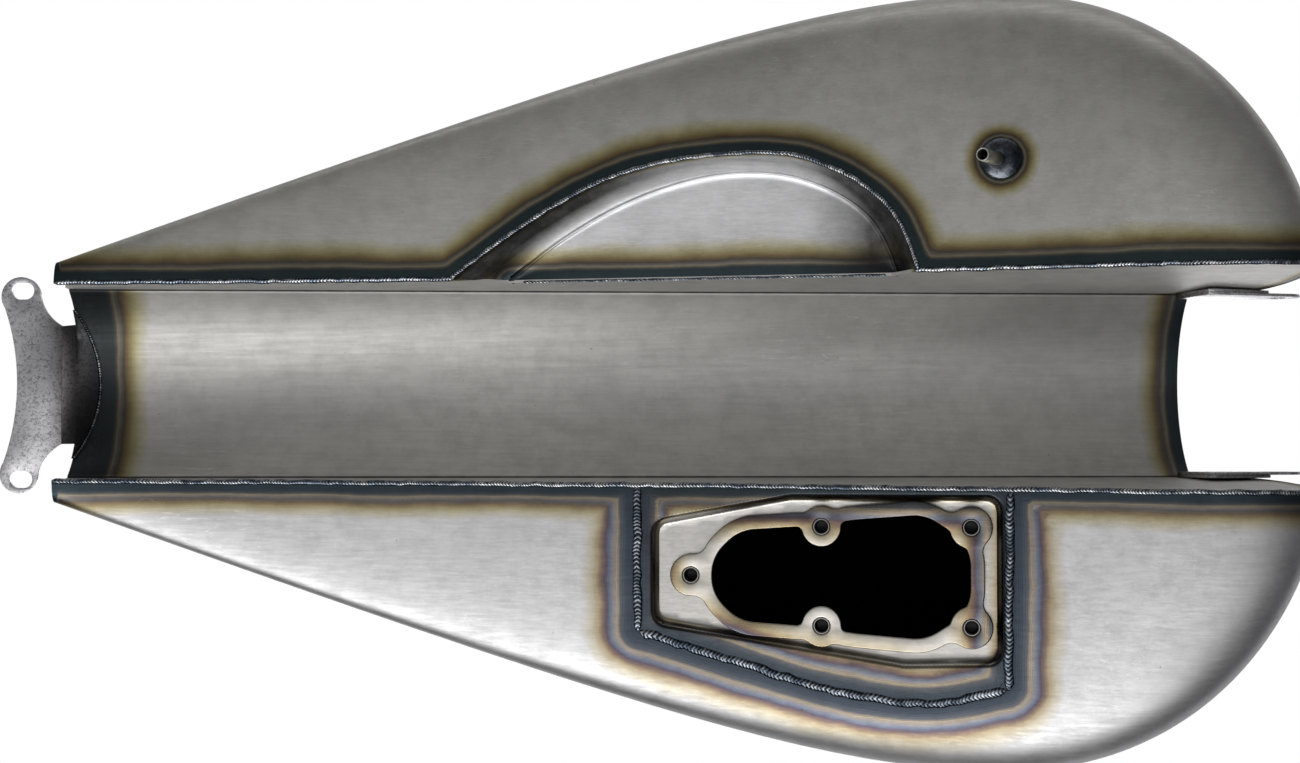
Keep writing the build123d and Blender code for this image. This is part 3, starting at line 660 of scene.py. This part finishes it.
class Slant:
    """A plane on the underside that follows its slope: u runs forward, v to the left, w into the tank."""

    def __init__(self, x, y):
        slope = belly_slope(x)
        length = math.hypot(1, slope)
        self.origin = np.array([x, y, belly_z(x)])
        self.u = np.array([1, 0, slope]) / length
        self.v = np.array([0, 1.0, 0])
        self.w = np.array([-slope, 0, 1]) / length

    def at(self, u, v, w=0.0):
        return self.origin + u * self.u + v * self.v + w * self.w

    def skin(self, u, v):
        """How deep the tank's skin lies below the plane at (u, v)."""
        w = 0.0
        for _ in range(4):
            x, y, z = self.at(u, v, w)
            w += (skin_z(x, y) - z) / self.w[2]
        return w

    def depth(self, co):
        """w of points in the row frame."""
        return (co - self.origin) @ self.w

    def flat(self, co):
        """(u, v) of points in the row frame."""
        away = co - self.origin
        return np.stack([away @ self.u, away @ self.v], 1)


PUMP = Slant(-247.0, 95.5)
PUMP_SCREWS = [(-64, 0), (0, -24), (0, 24), (72, -24), (72, 24)]
PUMP_RECESS = 4.5
PUMP_RING = 3.5
INSERT_TOP = PUMP_RECESS - PUMP_RING
PUMP_SEAM = joined(np.array([(-90, -75), (-90, 27.5)]),
                   joined(curve([(-90, 27.5), (-46, 40.6), (6, 55.4), (50, 60.6), (89, 53.5)]),
                          np.array([(89, 53.5), (91, -75)])))
RECESS = [(-82, -26), (-15, -38.5), (86, -38.5), (86, 40.5), (40, 42), (-82, 23)]
RECESS_ROUND = 7.0
OPENING_HALF = [(-53.5, -9), (-40, -22), (-10, -24), (18, -27.5), (50, -30), (71.5, -16)]
OPENING = OPENING_HALF + [(u, -v) for u, v in reversed(OPENING_HALF)]

POCKET = Slant(-306.0, 0.0)
POCKET_DEPTH = 16.0
POCKET_BASE_V = -46.0
POCKET_RIM = [(-131, POCKET_BASE_V), (-77, -84.4), (-37, -103.3), (12.5, -111.5), (53, -108.5), (92, -85),
              (109, POCKET_BASE_V)]
POCKET_FOLD = [(-103, POCKET_BASE_V), (-68, -73.5), (-28, -94), (13, -103.8), (50, -100.5), (83, -81),
               (99, POCKET_BASE_V)]


def wall_v(plane, u, side):
    """Where the tunnel's wall meets the underside at u, as a distance along v."""
    x, _, z = plane.at(u, 0)
    return side * wall_y(x, z) - plane.origin[1]


def corner_round(points, radius, grow=0.0, steps=7):
    """A closed outline with its corners rounded, let out by grow. Its points run anticlockwise."""
    p = np.asarray(points, float)
    count = len(p)
    found = []
    for i in range(count):
        into = p[i] - p[i - 1]
        away = p[(i + 1) % count] - p[i]
        into /= np.linalg.norm(into)
        away /= np.linalg.norm(away)
        half_turn = math.atan2(into[0] * away[1] - into[1] * away[0], into @ away) / 2
        inward = np.array([-(into + away)[1], (into + away)[0]])
        inward /= np.linalg.norm(inward)
        centre = p[i] + inward * radius / math.cos(half_turn)
        start = math.atan2(-into[0], into[1])
        for k in range(steps + 1):
            angle = start + 2 * half_turn * k / steps
            found.append(centre + (radius + grow) * np.array([math.cos(angle), math.sin(angle)]))
    return np.array(found)


def inside(points, outline):
    """Which points lie inside a closed outline."""
    x, y = points[:, 0], points[:, 1]
    found = np.zeros(len(points), bool)
    for (x0, y0), (x1, y1) in zip(outline, np.roll(outline, -1, 0)):
        if y0 != y1:
            found ^= ((y0 > y) != (y1 > y)) & (x < (x1 - x0) * (y - y0) / (y1 - y0) + x0)
    return found


def reach_from(points, outline):
    """Distance of points from a closed outline's line."""
    found = np.full(len(points), 1e9)
    for a, b in zip(outline, np.roll(outline, -1, 0)):
        span = b - a
        length = max(span @ span, 1e-12)
        t = np.clip(((points - a) @ span) / length, 0, 1)
        found = np.minimum(found, np.linalg.norm(points - a - t[:, None] * span, axis=1))
    return found


def closed(outline, step):
    """The same closed outline with evenly spaced points."""
    outline = np.asarray(outline, float)
    return resample(np.concatenate([outline, outline[:1]]), step=step)[:-1]


def filled(outline, holes, rings, step):
    """Triangles that fill an outline round its holes, closer together along the rings."""
    loops = [outline, *holes]
    points = np.concatenate(loops)
    edges, start = [], 0
    for loop in loops:
        edges += [(start + i, start + (i + 1) % len(loop)) for i in range(len(loop))]
        start += len(loop)
    extra = [ring[inside(ring, outline)] for ring in rings]
    low, high = outline.min(0), outline.max(0)
    u, v = np.meshgrid(np.arange(low[0], high[0], step), np.arange(low[1], high[1], step))
    lattice = np.stack([u.ravel(), v.ravel()], 1)
    keep = inside(lattice, outline) & (reach_from(lattice, outline) > 0.5 * step)
    for hole in holes:
        keep &= ~inside(lattice, hole) & (reach_from(lattice, hole) > 0.5 * step)
    for ring in rings:
        keep &= reach_from(lattice, ring) > 0.45 * step
    points = np.concatenate([points, *extra, lattice[keep]])
    found = delaunay_2d_cdt([Vector(p) for p in points.tolist()], edges, [], 0, 1e-5)
    corners = np.array([(p.x, p.y) for p in found[0]])
    faces = np.array([f for f in found[2] if len(f) == 3])
    middles = corners[faces].mean(1)
    shown = inside(middles, outline)
    for hole in holes:
        shown &= ~inside(middles, hole)
    return corners, faces[shown].tolist()


# ---- Shells ----

pump_seam = np.array([PUMP.at(u, v, PUMP.skin(u, v)) for u, v in resample(PUMP_SEAM, step=1.0)
                      if v > wall_v(PUMP, u, 1)])
rim_path, fold_path = (path[[v < wall_v(POCKET, u, -1) for u, v in path]]
                       for path in (curve(POCKET_RIM), curve(POCKET_FOLD)))
pocket_seam = np.array([POCKET.at(u, v, POCKET.skin(u, v)) for u, v in rim_path])
VENT_X = -161.1
VENT = np.array([VENT_X, -105.8, belly_z(VENT_X)])
FILLER_R = 37.0

# Seams of heat tint: (path, width of its tint, black width before it, paleness of its tint).
heat_left = [(edge_left, 19, 0, 0.35), (pump_seam, 27, 0, 1), (notch_left, 9, 0, 0), (tail_left, 2.5, 0, 0),
             (crown_line, 14, 0, 0.6)]
heat_right = [(edge_right, 20, 0, 0.1), (pocket_seam, 19, 0, 0), ([VENT], 12, 7.5, 0), (notch_right, 9, 0, 0),
              (mirrored(tail_left), 2.5, 0, 0), (crown_line, 14, 0, 0.6)]


def shell(name, side, cutters, material, node, heat):
    grids = [g if side > 0 else mirrored(g) for g in (crown_grid, side_grid, nose_grid)]
    obj = make(name, sheets(*grids), flip=side < 0)
    thicken(obj, material)
    cut(obj, *cutters)
    settle(obj)
    finish_piece(obj, material, "raw_steel", [node], heat=heat)


def slant_cutter(name, plane, outline):
    return prism(name, outline, lambda p: plane.at(*p, -CUT_REACH), lambda p: plane.at(*p, CUT_REACH))


CUT_REACH = 30
pump_cutter = slant_cutter("pump_cutter", PUMP, closed(PUMP_SEAM, 2.0))
pocket_outline = np.concatenate([curve(POCKET_RIM, 2.0), [(109, -30), (-131, -30)]])
pocket_cutter = slant_cutter("pocket_cutter", POCKET, pocket_outline)
filler_circle = [(WIDE_X + FILLER_R * math.cos(a), FILLER_R * math.sin(a))
                 for a in np.linspace(0, 2 * math.pi, 97)[:-1]]
filler_cutter = prism("filler_cutter", filler_circle, lambda p: (*p, 60), lambda p: (*p, 130))

shell("shell_left_skin", 1, [pump_cutter, filler_cutter], LEFT_STEEL, "shell_left", heat_left)
shell("shell_right_skin", -1, [pocket_cutter, filler_cutter], RIGHT_STEEL, "shell_right", heat_right)
discard(pump_cutter, pocket_cutter, filler_cutter)

# ---- Tunnel ----

REAR_WELD_R = 80.0
REAR_WELD_BACK = 70.0
REAR_WELD_HALF = 38.5
ARCH_COLS = 39
ARCH_ROWS = 220
rear_weld_y = np.linspace(-REAR_WELD_HALF, REAR_WELD_HALF, 90)
rear_weld_x = TAIL_X - REAR_WELD_BACK + np.sqrt(REAR_WELD_R**2 - rear_weld_y**2)


def arch_z(x, y):
    return crease_z(x) + ARCH_RISE - ARCH_R + np.sqrt(ARCH_R**2 - y**2)


rear_weld = np.stack([rear_weld_x, rear_weld_y, arch_z(rear_weld_x, rear_weld_y)], 1)
arch_front_y = TUNNEL_HALF * np.sin(np.linspace(-1.5, 1.5, 60)) / math.sin(1.5)
arch_front = np.stack([np.full_like(arch_front_y, ARCH_X), arch_front_y, arch_z(ARCH_X, arch_front_y)], 1)

arch_half_angle = math.asin(TUNNEL_HALF / ARCH_R)
# The groove along each crease: (distance from the crease, depth).
GROOVE = [(0.0, 0.9), (0.5, 1.15), (1.0, 1.0), (1.5, 0.45), (2.1, 0.0), (2.9, -0.18), (3.8, -0.1), (5.0, 0.0)]
groove_angles = [arch_half_angle - back / ARCH_R for back, _ in GROOVE]
plain_angle = arch_half_angle - 6 / ARCH_R
plain_angles = np.linspace(-plain_angle, plain_angle, ARCH_COLS)
arch_angles = np.concatenate([np.negative(groove_angles), plain_angles, groove_angles[::-1]])
grooves = [sink for _, sink in GROOVE]
arch_radii = ARCH_R + np.array(grooves + [0.0] * ARCH_COLS + grooves[::-1])
arch_y = ARCH_R * np.sin(arch_angles)
arch_drop = ARCH_RISE - ARCH_R + arch_radii * np.cos(arch_angles)
arch_grid = np.array([np.stack([np.full_like(arch_y, x), arch_y, crease_z(x) + arch_drop], 1)
                      for x in np.linspace(TAIL_X, ARCH_X, ARCH_ROWS)])
arch = make("tunnel_arch_sheet", sheets(arch_grid), flip=True)
thicken(arch, TUNNEL_STEEL)
settle(arch)
patch_x, patch_y = (a.ravel() for a in np.meshgrid(np.linspace(-631, -619, 6), np.linspace(-48, 48, 50)))
arch_rear = np.stack([patch_x, patch_y, arch_z(patch_x, patch_y)], 1)


def arch_shade(co):
    """Painted shade in the gaps along both creases, and soot at the rear."""
    beside = TUNNEL_HALF - np.abs(co[:, 1])
    behind = -600 - co[:, 0]
    return 0.95 * np.clip((1.1 - beside) / 0.5, 0, 1) + 0.72 * np.clip(behind / 16, 0, 1)


finish_piece(arch, TUNNEL_STEEL, "tunnel_steel", ["tunnel_arch"],
             heat=[(arch_rear, 27, 0, 0), (arch_front, 21, 0, 0.3)], shade=arch_shade)


def pocket_floor_depth(u):
    """Depth of the pocket where it opens into the tunnel."""
    rising = (u - rim_path[0][0]) / (fold_path[0][0] - rim_path[0][0])
    falling = (rim_path[-1][0] - u) / (rim_path[-1][0] - fold_path[-1][0])
    return POCKET_DEPTH * min(max(min(rising, falling), 0), 1)


def tunnel_wall(name, side, node):
    """A side wall of the tunnel, which goes on up to the crown beside the steering neck's notch."""
    rows = []
    for points in side_grid:
        x, _, low = points[-1]
        if side < 0:
            u = (x - POCKET.origin[0]) / POCKET.u[0]
            low = max(low, POCKET.at(u, 0, pocket_floor_depth(u))[2])
        z = np.linspace(crease_z(x), low, WALL_COLS)
        rows.append(np.stack([np.full(WALL_COLS, x), side * wall_y(x, z), z], 1))
    upper = []
    for points in nose_grid:
        x, _, high = points[0]
        z = np.linspace(high, points[-1][2], 3 * WALL_COLS)
        upper.append(np.stack([np.full(3 * WALL_COLS, x), side * wall_y(x, z), z], 1))
    obj = make(name, sheets(np.array(rows), np.array(upper)), flip=side > 0)
    thicken(obj, TUNNEL_STEEL)
    settle(obj)
    edge = edge_left if side > 0 else edge_right
    notch = notch_left if side > 0 else notch_right
    finish_piece(obj, TUNNEL_STEEL, "tunnel_steel", [node],
                 heat=[(edge, 9, 0, 0), (notch, 8, 0, 0), (arch_front, 12, 0, 0)])


tunnel_wall("tunnel_wall_left", 1, "tunnel_side_left")
tunnel_wall("tunnel_wall_right", -1, "tunnel_side_right")

# ---- Pump panel ----

seam_inside = [p for p in resample(PUMP_SEAM, step=2.0) if p[1] > wall_v(PUMP, p[0], 1)]
wall_line = [(u, wall_v(PUMP, u, 1)) for u in np.linspace(90.5, -90, 90)]
panel_outline = np.concatenate([seam_inside, wall_line])[::-1]
SHOULDER_OUT = 1.7
SHOULDER_RUN = 3.9
BORE_R = 4.0
panel_hole = closed(corner_round(OPENING, 20.0, 2.5), 2.0)
bore = BORE_R * np.array([(math.cos(a), math.sin(a)) for a in np.linspace(0, 2 * math.pi, 25)[:-1]])
panel_holes = [panel_hole] + [bore + screw for screw in PUMP_SCREWS if screw[0]]
recess_rings = [closed(corner_round(RECESS, RECESS_ROUND, grow), 2.0)
                for grow in (-2.7, -2.0, -1.3, -0.7, 0.0, 0.6, 1.2, 1.8, 2.5)]
panel_points, panel_faces = filled(panel_outline, panel_holes, recess_rings, 2.6)


recess_line = closed(corner_round(RECESS, RECESS_ROUND), 1.0)


def recess_reach(points):
    """How far points lie inside the recess's outline, or less than 0 outside it."""
    return reach_from(points, recess_line) * np.where(inside(points, recess_line), 1, -1)


def recess_share(points):
    """0 on the panel's face and 1 on the recess floor, with rounded shoulders between."""
    t = np.clip((recess_reach(points) + SHOULDER_OUT) / SHOULDER_RUN, 0, 1)
    return t * t * (3 - 2 * t)


shares = recess_share(panel_points)
panel_skin = np.array([PUMP.skin(u, v) for u, v in panel_points])
panel_depth = panel_skin + (PUMP_RECESS - panel_skin) * shares
panel_3d = [PUMP.at(u, v, w) for (u, v), w in zip(panel_points, panel_depth)]
pump_panel = make("pump_panel_pressing", [(panel_3d, panel_faces)], flip=True)
thicken(pump_panel, PANEL_STEEL)
settle(pump_panel)


def recess_calm(co):
    """The recess floor counts as further from the welds' heat than it is."""
    return 1 + 1.1 * recess_share(PUMP.flat(co))


def recess_shade(co):
    """A painted shadow line along the top of the recess's shoulder."""
    return 0.8 * np.clip(1.2 - np.abs(recess_reach(PUMP.flat(co)) + SHOULDER_OUT), 0, 1)


finish_piece(pump_panel, PANEL_STEEL, "brushed_panel", ["pump_panel"],
             heat=[(pump_seam, 25, 0, 1), (edge_left, 19, 0, 0.5)], calm=recess_calm, shade=recess_shade)

# ---- Relief pocket ----

POCKET_COLS = 150
WALL_SHARES = (0, 0.05, 0.11, 0.19, 0.29, 0.40, 0.52, 0.64, 0.75, 0.84, 0.92, 0.96, 0.98, 1.0)
FOLD_RIDGE = ((0.35, -0.95), (0.7, -0.75), (1.1, -0.25))  # (distance inward, depth past the floor)
rim_line = resample(rim_path, count=POCKET_COLS)
fold_line = resample(fold_path, count=POCKET_COLS)
pocket_rows = []
for share in WALL_SHARES:
    fall = 1 - (1 - share) ** 1.45 - 0.055 * max(share - 0.92, 0) / 0.08
    row = []
    for (ru, rv), (fu, fv) in zip(rim_line, fold_line):
        u, v = ru + (fu - ru) * share, rv + (fv - rv) * share
        rim_w = POCKET.skin(ru, rv)
        row.append(POCKET.at(u, v, rim_w + (POCKET_DEPTH - rim_w) * fall))
    pocket_rows.append(row)
middle = np.array([0.0, POCKET_BASE_V])
for inward, sink in FOLD_RIDGE:
    row = []
    for fold in fold_line:
        u, v = fold + (middle - fold) * inward / np.linalg.norm(middle - fold)
        row.append(POCKET.at(u, v, POCKET_DEPTH + sink))
    pocket_rows.append(row)
base_line = np.array([(u, wall_v(POCKET, u, -1))
                      for u in np.linspace(fold_line[0][0], fold_line[-1][0], POCKET_COLS)])
for share in np.linspace(0, 1, 30)[2:]:
    w = POCKET_DEPTH + 0.5 * math.sin(math.pi * share) ** 2
    pocket_rows.append([POCKET.at(u, v, w) for u, v in fold_line + (base_line - fold_line) * share])
pocket = make("relief_pocket_pressing", sheets(np.array(pocket_rows)))
thicken(pocket, POCKET_STEEL)
settle(pocket)
pocket_base = np.array([POCKET.at(u, v, POCKET_DEPTH) for u, v in base_line])


def pocket_shade(co):
    """Painted shade on the pocket's wall and towards its two ends."""
    u, v = POCKET.flat(co).T
    wall = np.clip((14.0 - POCKET.depth(co)) / 6, 0, 1)
    corner = np.clip((-72 - u) / 25, 0, 1) * np.clip((v + 72) / 14, 0, 1)
    rear = np.clip((-10 - u) / 55, 0, 1) * wall + 0.8 * corner
    front = np.clip((u - 48) / 36, 0, 1) ** 1.3
    return 0.64 * wall + 0.45 * rear + 0.96 * front


finish_piece(pocket, POCKET_STEEL, "brushed_panel", ["relief_pocket"], sharp=50,
             heat=[(pocket_seam, 5, 0, 0), (pocket_base, 19, 0, 0)], shade=pocket_shade)

# ---- Weld beads ----


BEAD_STEP = 0.42
BEAD_KNOT = 4.0


def bead_grid(path, normal, width, height, pitch, seed):
    """A rippled weld: its rows of points, and how high each stands on its ripple."""
    path = resample(path, step=BEAD_STEP)
    normals = np.array([normal(p) if callable(normal) else normal for p in path], float)
    tangent = np.gradient(path, axis=0)
    window = np.ones(9) / 9
    tangent = np.stack([np.convolve(np.pad(tangent[:, k], 4, "edge"), window, "valid") for k in range(3)], 1)
    tangent /= np.linalg.norm(tangent, axis=1)[:, None]
    side = np.cross(tangent, normals)
    side /= np.linalg.norm(side, axis=1)[:, None]
    up = np.cross(side, tangent)
    along = travel(path)
    rng = np.random.default_rng(seed)
    knots = np.arange(0, along[-1] + 2 * BEAD_KNOT, BEAD_KNOT)

    def wander(low, high):
        return np.interp(along, knots, rng.uniform(low, high, len(knots)))

    wide = wander(0.88, 1.12)
    tall = wander(0.8, 1.15)
    drift = np.cumsum(wander(0.75, 1.3)) * BEAD_STEP
    sway = wander(-0.12, 0.12) * width
    taper = np.clip(np.minimum(along, along[-1] - along) / (0.8 * width), 0.05, 1) ** 0.5
    across = np.linspace(-1, 1, 11)
    phase = drift[:, None] / pitch - 0.8 * np.abs(across[None, :]) ** 1.3
    ripple = (phase % 1) ** 0.7 * (1 - (phase % 1) ** 7)
    dome = np.sqrt(np.maximum(1 - across**2, 0))
    lift = dome[None, :] * height * (0.62 + 0.38 * ripple) * (tall * taper)[:, None] - 0.15
    out = across[None, :] * width / 2 * (wide * taper)[:, None] + sway[:, None]
    top = path[:, None, :] + side[:, None, :] * out[:, :, None] + up[:, None, :] * lift[:, :, None]
    bottom = path[:, None, :] + side[:, None, :] * out[:, 5:6, None] - up[:, None, :] * 0.8
    points = np.concatenate([top, bottom], axis=1)
    heights = np.concatenate([ripple * (0.55 + 0.45 * dome[None, :]), np.zeros((len(path), 1))], axis=1)
    return points, heights


def bead(name, metal, *runs):
    """Weld beads along runs of (path, normal, width, height, ripple pitch, seed), as one piece."""
    parts, ripples = [], []
    for run in runs:
        points, heights = bead_grid(*run)
        rows, cols = heights.shape
        index = np.arange(rows * cols).reshape(rows, cols)
        after = np.roll(index, -1, axis=1)
        faces = np.stack([index[:-1], index[1:], after[1:], after[:-1]], -1).reshape(-1, 4).tolist()
        faces += [index[0].tolist(), index[-1][::-1].tolist()]
        parts.append((points.reshape(-1, 3), faces))
        ripples.append(heights.ravel())
    mesh = gather(name, parts)
    store(mesh, "ripple", np.concatenate(ripples))
    obj = place(name, mesh)
    face_outward(mesh)
    finish_piece(obj, metal, "weld_steel", sharp=60)


def skin_normal(p):
    """Outward direction of the underside near p."""
    x, y = p[0], p[1]
    step = 0.5
    dx = (skin_z(min(x + step, -6), y) - skin_z(min(x, -6) - step, y)) / (2 * step)
    dy = (skin_z(x, y + step) - skin_z(x, y - step)) / (2 * step)
    n = np.array([dx, dy, -1.0])
    return n / np.linalg.norm(n)


def without_pocket(path):
    """The right edge's two stretches, behind the pocket and ahead of it."""
    u = (path[:, 0] - POCKET.origin[0]) / POCKET.u[0]
    return path[u < rim_path[0][0] + 3], path[u > rim_path[-1][0] - 3]


EDGE_BEAD = (2.6, 1.1, 1.5)
CROWN_BEAD = (5.0, 0.35, 1.9)
rear_edge, front_edge = without_pocket(edge_right)
front_end = nose_rows[-8]
bead("edge_weld_left", SEAM_METAL, (edge_left[edge_left[:, 0] < front_end], (0, -0.15, -1), *EDGE_BEAD, 1))
bead("edge_weld_right", SEAM_METAL, (rear_edge, (0, 0.55, -1), *EDGE_BEAD, 2),
     (front_edge[front_edge[:, 0] < front_end], (0, 0.55, -1), *EDGE_BEAD, 3))
bead("pocket_rim_weld", SEAM_METAL, (pocket_seam, skin_normal, 2.3, 1.0, 1.5, 4))
bead("pocket_base_weld", SEAM_METAL, (pocket_base[4:-4], (0, -0.6, -1), 2.0, 0.7, 1.6, 5))
rear_corner = np.argmax(pump_seam[:, 1] > PUMP.origin[1] + 27.4)
front_corner = np.argmin(np.linalg.norm(pump_seam[:, :2] - PUMP.at(89, 53.5)[:2], axis=1))
stretches = [(0, rear_corner), (rear_corner, front_corner), (front_corner, len(pump_seam) - 1)]
bead("pump_panel_weld", WELD_METAL, *[(pump_seam[a:b + 1], skin_normal, 4.6, 1.4, 2.0, 6 + k)
                                      for k, (a, b) in enumerate(stretches)])
bead("rear_bracket_weld", SEAM_METAL, (rear_weld, (0.4, 0, -1), 1.9, 0.9, 1.5, 10))
crown_x = crown_line[:, 0]
bead("crown_seam_weld", WELD_METAL, (crown_line[crown_x < WIDE_X - FILLER_R], (0, 0, 1), *CROWN_BEAD, 11),
     (crown_line[crown_x > WIDE_X + FILLER_R], (0, 0, 1), *CROWN_BEAD, 12))

# ---- Pieces made from the design's own solids ----


SHARP_EDGE = math.radians(35)


def design_piece(node, name, width, material, slot, body="tank", segments=2, **looks):
    """A finished copy of a design solid with its sharp edges rounded."""
    bm = bmesh.new()
    bm.from_mesh(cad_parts[node].data)
    bmesh.ops.remove_doubles(bm, verts=bm.verts, dist=WELD_REACH)
    bmesh.ops.dissolve_limit(bm, angle_limit=math.radians(0.6), verts=bm.verts, edges=bm.edges)
    sharp = [e for e in bm.edges if len(e.link_faces) == 2 and e.calc_face_angle(0) > SHARP_EDGE]
    bmesh.ops.bevel(bm, geom=sharp, offset=width * MM, segments=segments, profile=0.5, affect="EDGES",
                    clamp_overlap=True)
    bmesh.ops.triangulate(bm, faces=bm.faces)
    mesh = bpy.data.meshes.new(name)
    bm.to_mesh(mesh)
    bm.free()
    finish_piece(place(name, mesh), material, slot, [node], body, **looks)


front_heat = [(arch_front, 12, 0, 0)]
tail_heat = [(tail_left, 12, 0, 0), (mirrored(tail_left), 12, 0, 0)]
# The ring's outer bevel darkens towards the recess floor, painted shade in the gap round the ring.
design_piece("pump_flange_ring", "pump_flange_ring_pressing", 1.4, FLANGE_STEEL, "flange_steel", segments=4,
             heat=[(pump_seam, 29, 0, 1), (edge_left, 30, 0, 1)],
             shade=lambda co: 0.96 * np.clip((PUMP.depth(co) - INSERT_TOP - 0.1) / 0.4, 0, 1))
# The bracket plate darkens forward of x = -650, towards its bend.
design_piece("rear_mount_bracket", "rear_bracket_plate", 0.5, PLATE_STEEL, "pitted_steel",
             heat=[(rear_weld, 24, 0, 0)], shade=lambda co: 0.72 * np.clip((co[:, 0] + 650) / 18, 0, 1))
for tab in ("front_tab_left", "front_tab_doubler_left", "front_tab_right", "front_tab_doubler_right"):
    design_piece(tab, tab + "_plate", 0.3, PLATE_STEEL, "pitted_steel", heat=front_heat)
design_piece("neck_panel", "neck_panel_sheet", 0.2, TUNNEL_STEEL, "raw_steel", heat=front_heat)
design_piece("tail_panel", "tail_panel_sheet", 0.2, RIGHT_STEEL, "raw_steel", heat=tail_heat)
design_piece("vent_boss", "vent_boss_weld", 0.6, PUDDLE_METAL, "weld_steel")
design_piece("vent_tube", "vent_pipe", 0.15, TUBE_STEEL, "tube_steel")
design_piece("filler_neck", "filler_neck_ring", 0.5, NECK_STEEL, "neck_steel")

INSERT_R = 4.05
INSERT_LENGTH = 11.0
INSERT_BORE = 9.0
thread = [(3.1 - 0.35 * (k % 2), 0.8 + 0.5 * k) for k in range(17)]
insert_profile = [(INSERT_R, INSERT_LENGTH), (INSERT_R, 0.3), (3.8, 0), (3.45, 0), *thread,
                  (2.7, INSERT_BORE), (0, INSERT_BORE)]
turned = [[(r * math.cos(a), r * math.sin(a), INSERT_TOP + w) for a in np.linspace(0, 2 * math.pi, 41)]
          for r, w in insert_profile]
insert_grids = [np.array([[PUMP.at(u + du, v + dv, w) for du, dv, w in ring] for ring in turned])
                for u, v in PUMP_SCREWS]
inserts = make("pump_inserts", sheets(*insert_grids))
# Each insert darkens down its bore, painted shade inside the hole.
finish_piece(inserts, INSERT_STEEL, "insert_steel", ["pump_screw_inserts"],
             shade=lambda co: np.clip((PUMP.depth(co) - INSERT_TOP - 0.5) / 1.2, 0, 0.97))

design_piece("cap_body", "cap_body_turning", 0.3, CAP_ALUMINIUM, "cap_aluminium", "cap")
design_piece("cap_cover", "cap_cover_dome", 0.3, CAP_CHROME, "cap_chrome", "cap_top")

CARRIED = {"cap_spring": SPRING_STEEL, "cap_circlip": SPRING_STEEL, "cap_detent_balls": SPRING_STEEL,
           "cap_gasket": RUBBER, "cap_cover_seal": RUBBER, "cap_vent_valve": RUBBER}
for node, material in CARRIED.items():
    node_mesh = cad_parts[node].data
    node_mesh.materials.clear()
    node_mesh.materials.append(material)

# ---- Camera, light and floor ----

camera_data = bpy.data.cameras.new("camera")
camera_data.lens = 55.42
camera_data.sensor_width = 36
camera = place("camera", camera_data)
eye, aim = Vector((-0.330, 0.034, -1.050)), Vector((-0.330, 0.0, -0.050))
back = (eye - aim).normalized()
right = Vector((1, 0, 0))  # the motorcycle's front is on the picture's right
camera.matrix_world = Matrix.Translation(eye) @ Matrix((right, back.cross(right), back)).transposed().to_4x4()
camera_data.clip_start = 0.05
bpy.context.scene.camera = camera


def soft_light(name, where, aim_at, size, power):
    light = bpy.data.lights.new(name, "AREA")
    light.shape = "RECTANGLE"
    light.size, light.size_y = size
    light.energy = power
    obj = place(name, light)
    obj.location = where
    obj.rotation_euler = (Vector(aim_at) - Vector(where)).to_track_quat("-Z", "Y").to_euler()
    obj.visible_camera = False


soft_light("key", (-0.62, 0.98, -1.02), (-0.45, 0.08, -0.07), (1.5, 0.36), 8.5)
soft_light("belly", (-0.62, 0.50, -1.30), (-0.62, 0.50, 0.0), (1.7, 0.66), 3.9)
soft_light("rim", (-0.30, -1.2, -0.30), (-0.30, -0.10, -0.05), (2.0, 0.5), 2)
soft_light("top", (-0.30, 0.3, 1.6), (-0.30, 0.0, 0.0), (1.6, 1.0), 14)

# The studio round the tank: a grey gradient lights it, and the camera sees white behind it.
UNDER_GREYS = [
    (0.00, (0.14, 0.14, 0.14)),
    (0.30, (0.26, 0.26, 0.26)),
    (0.52, (0.42, 0.42, 0.425)),
    (0.68, (0.50, 0.50, 0.51)),
    (0.84, (0.20, 0.20, 0.205)),
    (1.00, (0.10, 0.10, 0.10)),
]
world = bpy.data.worlds.new("studio")
bpy.context.scene.world = world
world.use_nodes = True
sky = Shader.__new__(Shader)
sky.tree = world.node_tree
sky.tree.nodes.clear()
split = sky.add("ShaderNodeSeparateXYZ")
sky.link(sky.add("ShaderNodeTexCoord").outputs["Generated"], split.inputs[0])
under = sky.ramp(sky.remap(split.outputs["Y"], -0.7, 0.7), UNDER_GREYS)
under = sky.mix(sky.remap(split.outputs["X"], 0.05, 0.75), under, (0.10, 0.10, 0.105))
studio = sky.mix(sky.remap(split.outputs["Z"], 0.05, 0.5), under, (0.55, 0.55, 0.56))
seen, lit = sky.add("ShaderNodeBackground"), sky.add("ShaderNodeBackground")
seen.inputs["Color"].default_value = (1, 1, 1, 1)
sky.link(studio, lit.inputs["Color"])
either = sky.add("ShaderNodeMixShader")
sky.link(sky.add("ShaderNodeLightPath").outputs["Is Camera Ray"], either.inputs[0])
sky.link(lit.outputs[0], either.inputs[1])
sky.link(seen.outputs[0], either.inputs[2])
sky.link(either.outputs[0], sky.add("ShaderNodeOutputWorld").inputs["Surface"])

FLOOR_Z = -1.6
FLOOR_HALF = 60
floor_mesh = bpy.data.meshes.new("floor")
corners = [(x * FLOOR_HALF, y * FLOOR_HALF, FLOOR_Z) for x, y in ((-1, -1), (1, -1), (1, 1), (-1, 1))]
floor_mesh.from_pydata(corners, [], [(0, 1, 2, 3)])
floor = place("floor", floor_mesh)
pale = Shader("pale_floor", 0.8, 0.0)
floor_mesh.materials.append(pale.finish((0.88, 0.88, 0.87), pale.remap(pale.noise(3.0), 0, 1, 0.75, 0.85)))
floor.visible_glossy = False
bpy.context.scene.view_settings.view_transform = "Standard"
